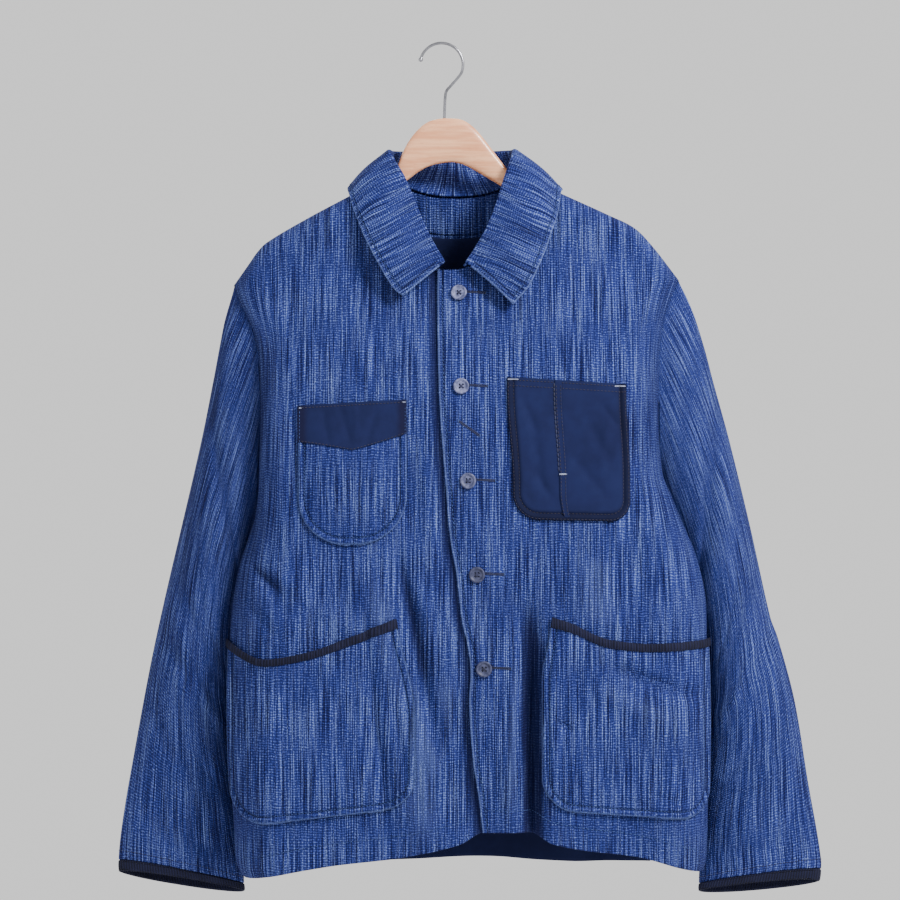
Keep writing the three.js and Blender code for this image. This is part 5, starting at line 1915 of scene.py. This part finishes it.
POCKETS = {
    "chest_pocket_left": Pocket(
        name="chest_pocket_left",
        from_x=lambda z: 69.9 + 6 * rise(-380, -480, z),
        to_x=lambda z: 197.4 + 3.5 * rise(-380, -470, z),
        bottom=-517, top=-368, corner=(28, 22), tilt=-0.02,
        mouth=lambda x: -0.059 * (x - 133), puff=1,
        creases=listed(Crease, [
            (96, -400, 110, -500, 6, 1.6), (150, -400, 188, -470, 6, 1.4),
            (84, -380, 104, -430, 5, 1.2), (165, -385, 194, -425, 4, 1.3),
            (132, -440, 186, -506, 6, 1.5), (182, -390, 166, -480, 5, -1.0),
            (90, -450, 126, -508, 5, 1.3),
        ]),
    ),
    "chest_pocket_right": Pocket(
        name="chest_pocket_right",
        from_x=lambda z: -152.6 + 0 * z,
        to_x=lambda z: -37.0 + 0 * z,
        bottom=-542.5, top=-392, corner=(52, 50), tilt=0.03,
        mouth=lambda x: 0.056 * (x + 96), puff=2,
        creases=listed(Crease, [
            (-70, -500, -60, -540, 5, 1.2), (-128, -390, -118, -446, 4, 1.0),
            (-110, -388, -94, -444, 4, 1.1), (-66, -386, -82, -446, 4, 1.0),
            (-92, -386, -90, -430, 3, -0.7),
        ]),
    ),
    "hip_pocket_left": Pocket(
        name="hip_pocket_left",
        from_x=lambda z: 108 + 10 * rise(-700, -625, z),
        to_x=lambda z: FORM.side_left(z) - 1.5,
        bottom=-830, top=-640, corner=(34, 32), tilt=-0.07,
        mouth=through([(117, 19), (140, 12), (170, -2), (195, -7), (221, -9), (287, -6)]), puff=4,
        creases=listed(Crease, [
            (158, -664, 290, -712, 8, 5.5), (140, -680, 270, -744, 12, -2.6),
            (114, -724, 146, -744, 4, 3.4), (214, -806, 262, -820, 5, 2.0),
            (186, -806, 232, -812, 4, -1.2), (134, -690, 128, -790, 5, 1.4),
        ]),
    ),
    "hip_pocket_right": Pocket(
        name="hip_pocket_right",
        from_x=lambda z: FORM.side_right(z) + 1.5,
        to_x=lambda z: -27 - 23 * rise(-740, -622, z),
        bottom=-832, top=-645, corner=(40, 34), tilt=0.12,
        mouth=through([(-232, 0), (-196, -19), (-176, -19.5), (-132, -10), (-90, 6), (-50, 22)]),
        puff=4,
        creases=listed(Crease, [
            (-90, -650, -60, -790, 9, 1.8), (-200, -700, -196, -800, 9, 1.4),
            (-150, -680, -70, -740, 10, 1.4), (-52, -700, -36, -790, 5, 1.6),
        ]),
    ),
}


RIM_ROW = StitchRow(pitch=3.8, length=2.6, radius=0.32)
RIM_INSETS = (1.6, 7.4)  # the two rows of stitches, in from a pocket's sewn rim


@dataclass
class Pockets:
    """The four pockets with their trims, topstitching and bar tacks.

    Attributes:
        yoke_side: Height of the yoke's lower corners, as a share of the pocket's.
        yoke_point: Height of its point.
        pen_slot: Where its band lies, as shares of the pocket's width.
        pen_tack: Where the tack at its foot lies, as shares of the width and the height.
        over_pocket: From a pocket's base to the middle of a trim on it.
    """

    finishes: Wardrobe
    yoke_side: float = 0.735
    yoke_point: float = 0.66
    pen_slot: Pair = (0.4, 0.458)
    pen_tack: Pair = (0.429, 0.33)
    over_pocket: float = POCKET_WALL + 0.1 + TRIM_WALL / 2

    def trim(self, node: str, cloth: ClothGrid, stuff: Stuff, under: str) -> Piece:
        """Builds one trim that lies on a pocket."""
        return make_sheet(node, cloth, TRIM_WALL, stuff)

    def yoke_low(self, across: Array) -> Array:
        """The yoke's lower edge, a V, as shares of the pocket's height."""
        side = self.yoke_side + 0.03 * across
        return blend(self.yoke_point, side, np.abs(2 * across - 1))

    def yoke(self) -> Piece:
        """Builds the yoke, from its lower edge up to the pocket's mouth."""
        pocket = POCKETS["chest_pocket_right"]
        across, share = np.meshgrid(np.linspace(0, 1, 64), np.linspace(0, 1, 26), indexing="ij")
        up = blend(self.yoke_low(across), 1.0, share)
        cloth = pocket.layer(across, up, self.over_pocket)
        cloth.seam = distance_to_line(np.stack(pocket.places(across, up), -1), pocket.outline())
        return self.trim("chest_pocket_right_yoke", cloth, self.finishes.yoke, pocket.name)

    def binding(self, name: str) -> None:
        """Builds the binding along a hip pocket's mouth, a little rounder than the cloth."""
        across, share = np.meshgrid(np.linspace(0, 1, 260), np.linspace(0, 1, 7), indexing="ij")
        cloth = POCKETS[name].layer(across, blend(0.958, 1.008, share), self.over_pocket)
        lumps = 0.35 * np.sin(across * 2 * np.pi * 34) + 0.25 * np.sin(across * 2 * np.pi * 13)
        cloth = cloth.moved((1.2 + lumps) * np.sin(np.pi * share))
        self.trim(f"{name}_binding", cloth, self.finishes.binding, name)

    def pen_band(self) -> Piece:
        """Builds the band of the pen slot, a narrow strip that goes with its pocket's cloth."""
        across, up = np.meshgrid(
            np.linspace(*self.pen_slot, 9), np.linspace(0.02, 0.995, 90), indexing="ij")
        cloth = POCKETS["chest_pocket_left"].layer(across, up, self.over_pocket)
        piece = make_wall("pen_slot_band_cloth", cloth, TRIM_WALL, self.finishes.patch)
        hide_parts("pen_slot_band")
        return piece

    def tack(
        self, finder: FaceFinder, start: Pair, end: Pair, width: float = 1.5
    ) -> tuple[Array, Array, Array]:
        """A bar tack: short threads laid side by side across a line."""
        points, normals = finder.drop(even_line(np.array([start, end], float), 0.75))
        side = np.cross(unit(np.gradient(points, axis=0)), normals) * width / 2
        return points - side, points + side, normals

    def mouth_tacks(self, finder: FaceFinder, pocket: Pocket) -> list:
        """Bar tacks at both ends of a pocket's mouth."""
        tacks = []
        for across, reach in ((0.0, 1), (1.0, -1)):
            x, z = (float(v) for v in pocket.places(np.array(across), np.array(0.985)))
            if pocket.name.startswith("chest"):
                ends = (x + 1.5 * reach, z), (x + 12 * reach, z)
            else:
                slope = -3 if across == 0 and pocket.name.endswith("left") else 1
                ends = (x + 3 * reach, z - 3), (x + 11 * reach, z - 3 + slope)
            tacks.append(self.tack(finder, *ends))
        return tacks

    def sew_rims(self, pieces: dict[str, Piece], band: Piece) -> None:
        """Sews the pockets' rims, and the tacks at their mouths and at the pen slot's foot."""
        tacks = []
        for name, piece in pieces.items():
            finder, pocket = FaceFinder(piece), POCKETS[name]
            lines = [even_line(inset(pocket.outline(), d), 1.5)[3:-3] for d in RIM_INSETS]
            rows = [RIM_ROW.ends(*finder.drop(line)) for line in lines]
            thread = self.finishes.blue_thread
            if name == "chest_pocket_left":
                thread = self.finishes.plum_thread
                x, z = pocket.places(np.linspace(0.01, 0.99, 90), np.ones(90))
                rows += [finder.sew(RIM_ROW, x, z - drop) for drop in (2.6, 8.6)]
            make_threads(f"{name}_topstitch", rows, RIM_ROW, thread)
            tacks += self.mouth_tacks(finder, pocket)
        foot = POCKETS["chest_pocket_left"].places(*np.array(self.pen_tack))
        x, z = (float(v) for v in foot)
        tacks.append(self.tack(FaceFinder(band), (x - 3.4, z), (x + 3.4, z), 1.8))
        make_threads("pocket_bar_tacks", tacks, StitchRow(radius=0.42), self.finishes.white_thread)

    def sew_pen_slot(self, pocket: Piece, band: Piece) -> None:
        """Lays a dark cord as the painted shadow of the pen slot's opening, and sews both edges of
        its band.
        """
        places = POCKETS["chest_pocket_left"].places
        left, right = self.pen_slot
        # A dark cord sunk into the cloth, standing in for the shade inside the slit.
        slit_shadow = StitchRow(pitch=5.0, length=5.4, radius=0.75, lift=-0.1)
        x, z = places(np.full(100, left - 0.004), np.linspace(0.99, 0.34, 100))
        make_threads("pen_slot_shadow", [FaceFinder(pocket).sew(slit_shadow, x, z)], slit_shadow,
                     self.finishes.dark_thread)
        up, finder = np.linspace(0.03, 0.985, 120), FaceFinder(band)
        rows = [finder.sew(RIM_ROW, *places(np.full(120, across), up))
                for across in (left + 0.012, right - 0.008)]
        make_threads("pen_slot_topstitch", rows, RIM_ROW, self.finishes.plum_thread)

    def sew_yoke(self, yoke: Piece) -> None:
        """Sews the yoke along its lower edge and its mouth."""
        places, finder = POCKETS["chest_pocket_right"].places, FaceFinder(yoke)
        across = np.linspace(0.02, 0.98, 100)
        rows = [finder.sew(RIM_ROW, *places(across, up))
                for up in (self.yoke_low(across) + 0.012, np.full(100, 0.985))]
        make_threads("yoke_topstitch", rows, RIM_ROW, self.finishes.plum_thread)

    def build(self) -> None:
        """Builds the pockets, then their trims, then sews them."""
        band, pieces = self.pen_band(), {}
        for name, pocket in POCKETS.items():
            plain = name == "chest_pocket_left"
            stuff = self.finishes.patch if plain else self.finishes.pocket_slub
            pieces[name] = make_sheet(name, pocket.cloth(), POCKET_WALL, stuff)
        yoke = self.yoke()
        for name in ("hip_pocket_left", "hip_pocket_right"):
            self.binding(name)
        self.sew_rims(pieces, band)
        self.sew_pen_slot(pieces["chest_pocket_left"], band)
        self.sew_yoke(yoke)


BUTTON_PLACES = [(18.8, -273.5), (21, -374.2), (28.4, -474.9), (37.9, -574.5), (45.3, -674.1)]
BUTTON_STAINS = [0.0, 0.05, 0.4, 0.75, 0.7]
BUTTON_PROFILE = [  # shares of the radius and of the thickness
    (0, 0.58), (0.5, 0.57), (0.62, 0.62), (0.72, 0.86), (0.8, 0.99), (0.88, 1.0), (0.95, 0.93),
    (1.0, 0.7), (1.0, 0.42), (0.94, 0.14), (0.84, 0.02), (0, 0),
]
SPARE_HOLE = (18.2, -410.7), (41.1, -426.9)


@dataclass
class Closure:
    """Buttons with their threads, and the worked buttonholes.

    Attributes:
        radius: Of a button.
        thick: Of a button at its rim.
        hole_radius: Of each of its four holes.
        hole_pitch: From the middle of the button to a hole, along x and along z.
        hole_depth: How far a hole sinks.
        lift: From the front's face to the button's back.
        buttonhole_end: From the middle of the button to the far end of its buttonhole.
    """

    finishes: Wardrobe
    radius: float = 8.6
    thick: float = 3.2
    hole_radius: float = 0.95
    hole_pitch: float = 1.75
    hole_depth: float = 1.3
    buttonhole_end: float = 29.0
    lift: float = 0.9
    sides: int = 64

    def frame_at(self, x: float, z: float) -> tuple[Array, Array]:
        """The point of the front at a place, and axes across, up and outwards there."""
        step = 4.0
        xs = np.array([x, x + step, x - step, x, x])
        zs = np.array([z, z, z, z + step, z - step])
        points = np.stack([xs, FORM.front_y(xs, zs), zs], -1)
        across, up = unit(points[1] - points[2]), unit(points[3] - points[4])
        outwards = unit(np.cross(across, up))
        return points[0], np.stack([across, np.cross(outwards, across), outwards])

    def button(self, number: int, x: float, z: float) -> None:
        """Builds a button as a turned profile.

        The profile runs from the middle of the face over its dish and rim to the middle of its
        back, and four holes sink the face on smooth steps of the distance from their middles.

        Args:
            number: Its place in the row, from the top, counted from 1.
            x: Across the front view.
            z: Up the front view.
        """
        line = even_line(np.array(BUTTON_PROFILE) * (self.radius, self.thick), 0.32)
        angle = turns(self.sides)
        flat_x, flat_z = line[:, :1] * np.cos(angle), line[:, :1] * np.sin(angle)
        sunk = np.zeros_like(flat_x)
        for across in (-self.hole_pitch, self.hole_pitch):
            for up in (-self.hole_pitch, self.hole_pitch):
                off = np.hypot(flat_x - across, flat_z - up)
                sunk = np.maximum(sunk, rise(self.hole_radius * 1.15, self.hole_radius * 0.75, off))
        sunk[len(line) * 2 // 3:] = 0
        height = line[:, 1:] - sunk * self.hole_depth
        origin, axes = self.frame_at(x, z)
        rings = (origin + flat_x[..., None] * axes[0] + flat_z[..., None] * axes[1]
                 + (height[..., None] + self.lift) * axes[2])
        piece = make_loft(f"button_{number}_disc", f"button_{number}", rings[1:-1],
                          self.finishes.horn)
        mark_points(piece.data, "sunk", sunk[1:-1])
        mark_points(piece.data, "stained", np.full(sunk[1:-1].size, BUTTON_STAINS[number - 1]))

    def button_threads(self) -> None:
        """Sews each button with two crossed pairs of threads through its holes."""
        starts, ends, normals = [], [], []
        for x, z in BUTTON_PLACES:
            origin, axes = self.frame_at(x, z)
            face = origin + axes[2] * (self.lift + self.thick * 0.58 + 0.15)
            for side, shift in ((1, -0.28), (1, 0.28), (-1, -0.28), (-1, 0.28)):
                bias = (axes[0] - axes[1] * side) * shift
                reach = (axes[0] + axes[1] * side) * self.hole_pitch
                starts.append(face + reach + bias)
                ends.append(face - reach + bias)
                normals.append(axes[2])
        rows = [(np.array(starts), np.array(ends), np.array(normals))]
        make_threads("button_threads", rows, StitchRow(radius=0.42), self.finishes.dark_thread)

    def hole_stitches(self, finder: FaceFinder, start: Pair, end: Pair) -> list:
        """Stitches of a worked buttonhole: short threads across both of its lips."""
        points, normals = finder.drop(even_line(np.array([start, end], float), 0.8))
        side = np.cross(unit(np.gradient(points, axis=0)), normals)
        return [(points + side * 0.1 * lip, points + side * 1.4 * lip, normals) for lip in (1, -1)]

    def buttonholes(self, front: Piece) -> None:
        """Works a buttonhole beside each button, and a slanted spare one."""
        finder, row = FaceFinder(front), StitchRow(radius=0.38)
        dark, rows = self.finishes.dark_thread, []
        ends = [(x + self.buttonhole_end, z + 0.4) for x, z in BUTTON_PLACES]
        for (x, z), end in zip(BUTTON_PLACES, ends):
            rows += self.hole_stitches(finder, (x + self.radius - 1, z + 1.6), end)
        make_threads("buttonhole_stitches", rows, row, dark)
        rows = self.hole_stitches(finder, *SPARE_HOLE)
        make_threads("spare_buttonhole_stitches", rows, row, dark)
        tails = []
        for x, z in [*ends, *SPARE_HOLE]:
            points, normals = finder.drop(np.array([[x, z - 2.2], [x + 0.6, z + 2.2]]))
            tails.append((points[:1], points[1:], normals[:1]))
        make_threads("buttonhole_tacks", tails, StitchRow(radius=0.5), self.finishes.blue_thread)

    def build(self, front: Piece) -> None:
        """Builds the buttons and buttonholes."""
        for number, (x, z) in enumerate(BUTTON_PLACES, start=1):
            self.button(number, x, z)
        self.button_threads()
        self.buttonholes(front)


@dataclass
class Hanger:
    """The wooden hanger with its wire hook."""

    finishes: Wardrobe
    wire_radius: float = 1.6
    hook_radius: float = 23.4
    tip_radius: float = 2.6
    half_depth: float = 6.4
    half_depth_at_end: float = 13.0
    roundness: float = 0.7
    ends: Pair = (-194.0, 211.0)
    stations: int = 260
    sides: int = 40

    top_z: Curve = through([
        (-194, -224), (-168, -207), (-117, -178.4), (-80, -160), (-62, -152), (-56, -148.5),
        (-50, -137), (-44, -122), (-39.5, -111.7), (-29.5, -96.8), (-16.9, -85.6), (-4, -81.2),
        (9, -80.4), (23, -82.3), (35.4, -90.6), (45.6, -102), (56.8, -116.8), (71.8, -136),
        (80, -144.5), (86, -150), (100, -154.5), (130, -167.3), (180.7, -190), (211, -205.6),
    ])
    bottom_z: Curve = through([
        (-194, -246), (-117, -205), (-62, -168), (-39.5, -150), (-16.9, -134.4), (6.8, -128.7),
        (20.6, -130), (33, -135.6), (66.8, -155.7), (100, -175), (180, -215), (211, -229),
    ])

    def wood(self) -> None:
        """Builds the arms: rounded sections between the top and bottom lines.

        A section is a circle whose cosine and sine are raised to a power below 1, so that its
        sides are flatter, and the last sections shrink on a quarter circle.
        """
        left, right = self.ends
        x = np.linspace(left, right, self.stations)
        top, bottom = self.top_z(x), self.bottom_z(x)
        from_end = np.minimum(np.minimum(x - left, right - x) / 6, 1)
        close = np.sqrt(1 - (1 - from_end) ** 2).clip(0.06)
        spread = blend(self.half_depth, self.half_depth_at_end, rise(40, 190, np.abs(x - 8)))
        angle = turns(self.sides)

        def bent(value: Array) -> Array:
            return np.sign(value) * np.abs(value) ** self.roundness

        y = (spread * close)[:, None] * bent(np.cos(angle))
        half_height = ((top - bottom) / 2 * close)[:, None]
        z = ((top + bottom) / 2)[:, None] + half_height * bent(np.sin(angle))
        rings = np.stack([np.broadcast_to(x[:, None], y.shape), y, z], -1)
        make_loft("hanger_arms", "hanger_wood", rings, self.finishes.beech)

    def hook(self) -> None:
        """Builds the wire: an arc round the crown and then the stem, with a ball at its tip."""
        turn = np.radians(np.linspace(173, -38, 90))
        crown = np.stack([
            self.hook_radius * np.cos(turn),
            np.zeros_like(turn),
            self.wire_radius - self.hook_radius + self.hook_radius * np.sin(turn),
        ], -1)
        stem = np.array([[10.5, 0, -44.6], [5.4, 0, -50.8], [4, 0, -58], [3.5, 0, -68],
                         [3.1, 0, -80.6]])
        knots = np.concatenate([crown[::6], stem])
        run = np.append(0, np.cumsum(np.linalg.norm(np.diff(knots, axis=0), axis=1)))
        places = np.linspace(0, run[-1], 240)
        path = np.stack([through(list(zip(run, knots[:, k])))(places) for k in range(3)], -1)
        ball = np.sqrt(np.clip(1 - (places / self.tip_radius - 1) ** 2, 0, 1))
        wire = np.where(places < self.tip_radius, 0.05, self.wire_radius)
        radius = np.maximum(ball * self.tip_radius, wire)
        rings = tube_rings(path, radius, 24, np.array([0.0, 1.0, 0.0]))
        make_loft("hanger_wire", "hanger_hook", rings, self.finishes.steel)

    def build(self) -> None:
        """Builds the arms and the hook."""
        self.wood()
        self.hook()


@dataclass
class Studio:
    """A pale floor, soft light and the camera at the photograph's place."""

    camera_place: tuple[float, float, float] = (0.0093, -3.2, -0.442)
    frame_width: float = 0.981
    sensor: float = 36.0
    floor_z: float = -1.35
    floor_radius: float = 2.1
    floor_sides: int = 96
    floor_dark: tuple = (0.74, 0.74, 0.74, 1)
    floor_light: tuple = (0.78, 0.78, 0.78, 1)

    def floor(self) -> None:
        """Builds the floor as a round disc."""
        angle = turns(self.floor_sides)
        rim = np.stack([np.cos(angle), np.sin(angle)], -1) * self.floor_radius
        mesh = bpy.data.meshes.new("floor")
        corners = [(x, y, self.floor_z) for x, y in rim.tolist()]
        mesh.from_pydata(corners, [], [list(range(self.floor_sides))])
        floor = bpy.data.objects.new("floor", mesh)
        bpy.context.scene.collection.objects.link(floor)
        nodes = Surface("pale_floor")
        tone = nodes.noise(nodes.add("ShaderNodeTexCoord").outputs["Object"], 0.6, 1)
        shade = nodes.ramp(tone, [(0, self.floor_dark), (1, self.floor_light)])
        nodes.feed(nodes.shader.inputs["Base Color"], shade)
        nodes.shader.inputs["Roughness"].default_value = 0.9
        mesh.materials.append(nodes.material)

    def light(
        self, name: str, place: tuple[float, float, float], size: float, power: float
    ) -> None:
        """Adds a square soft light that faces the jacket's middle."""
        data = bpy.data.lights.new(name, "AREA")
        data.shape = "SQUARE"
        data.size = size
        data.energy = power
        lamp = bpy.data.objects.new(name, data)
        lamp.location = place
        aim = Vector((0.02, 0, -0.5)) - Vector(place)
        lamp.rotation_euler = aim.to_track_quat("-Z", "Y").to_euler()
        bpy.context.scene.collection.objects.link(lamp)

    def world(self) -> None:
        """Sets a white surround."""
        world = bpy.data.worlds.new("studio")
        world.use_nodes = True
        background = world.node_tree.nodes["Background"]
        background.inputs["Color"].default_value = WHITE
        background.inputs["Strength"].default_value = 1.0
        bpy.context.scene.world = world

    def camera(self) -> None:
        """Places the camera level, straight in front."""
        data = bpy.data.cameras.new("camera")
        data.sensor_width = self.sensor
        data.lens = self.sensor * -self.camera_place[1] / self.frame_width
        data.clip_end = 60
        camera = bpy.data.objects.new("camera", data)
        camera.location = self.camera_place
        camera.rotation_euler = (math.pi / 2, 0, 0)
        bpy.context.scene.collection.objects.link(camera)
        bpy.context.scene.camera = camera

    def build(self) -> None:
        """Builds the stage."""
        self.camera()
        self.floor()
        self.world()
        self.light("key", (1.7, -1.7, 1.2), 0.8, 150)
        self.light("fill", (-1.8, -2.6, 0.1), 1.8, 10)
        self.light("back", (-0.4, 2.2, 0.8), 1.6, 18)


def main() -> None:
    """Builds the jacket, its hanger and the studio, and logs the faces of each piece that renders.
    """
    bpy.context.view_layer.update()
    Studio().build()
    finishes = Wardrobe()
    Hanger(finishes).build()
    body = Body(finishes)
    body.build()
    for side in Side:
        Sleeve(side, finishes).build()
    Collar(finishes).build()
    Pockets(finishes).build()
    Closure(finishes).build(body.pieces["front_left"])
    for piece in bpy.context.scene.objects:
        if piece.type == "MESH" and not piece.hide_render:
            LOG.info("%s: %d faces", piece.name, len(piece.data.polygons))


if __name__ == "__main__":
    main()
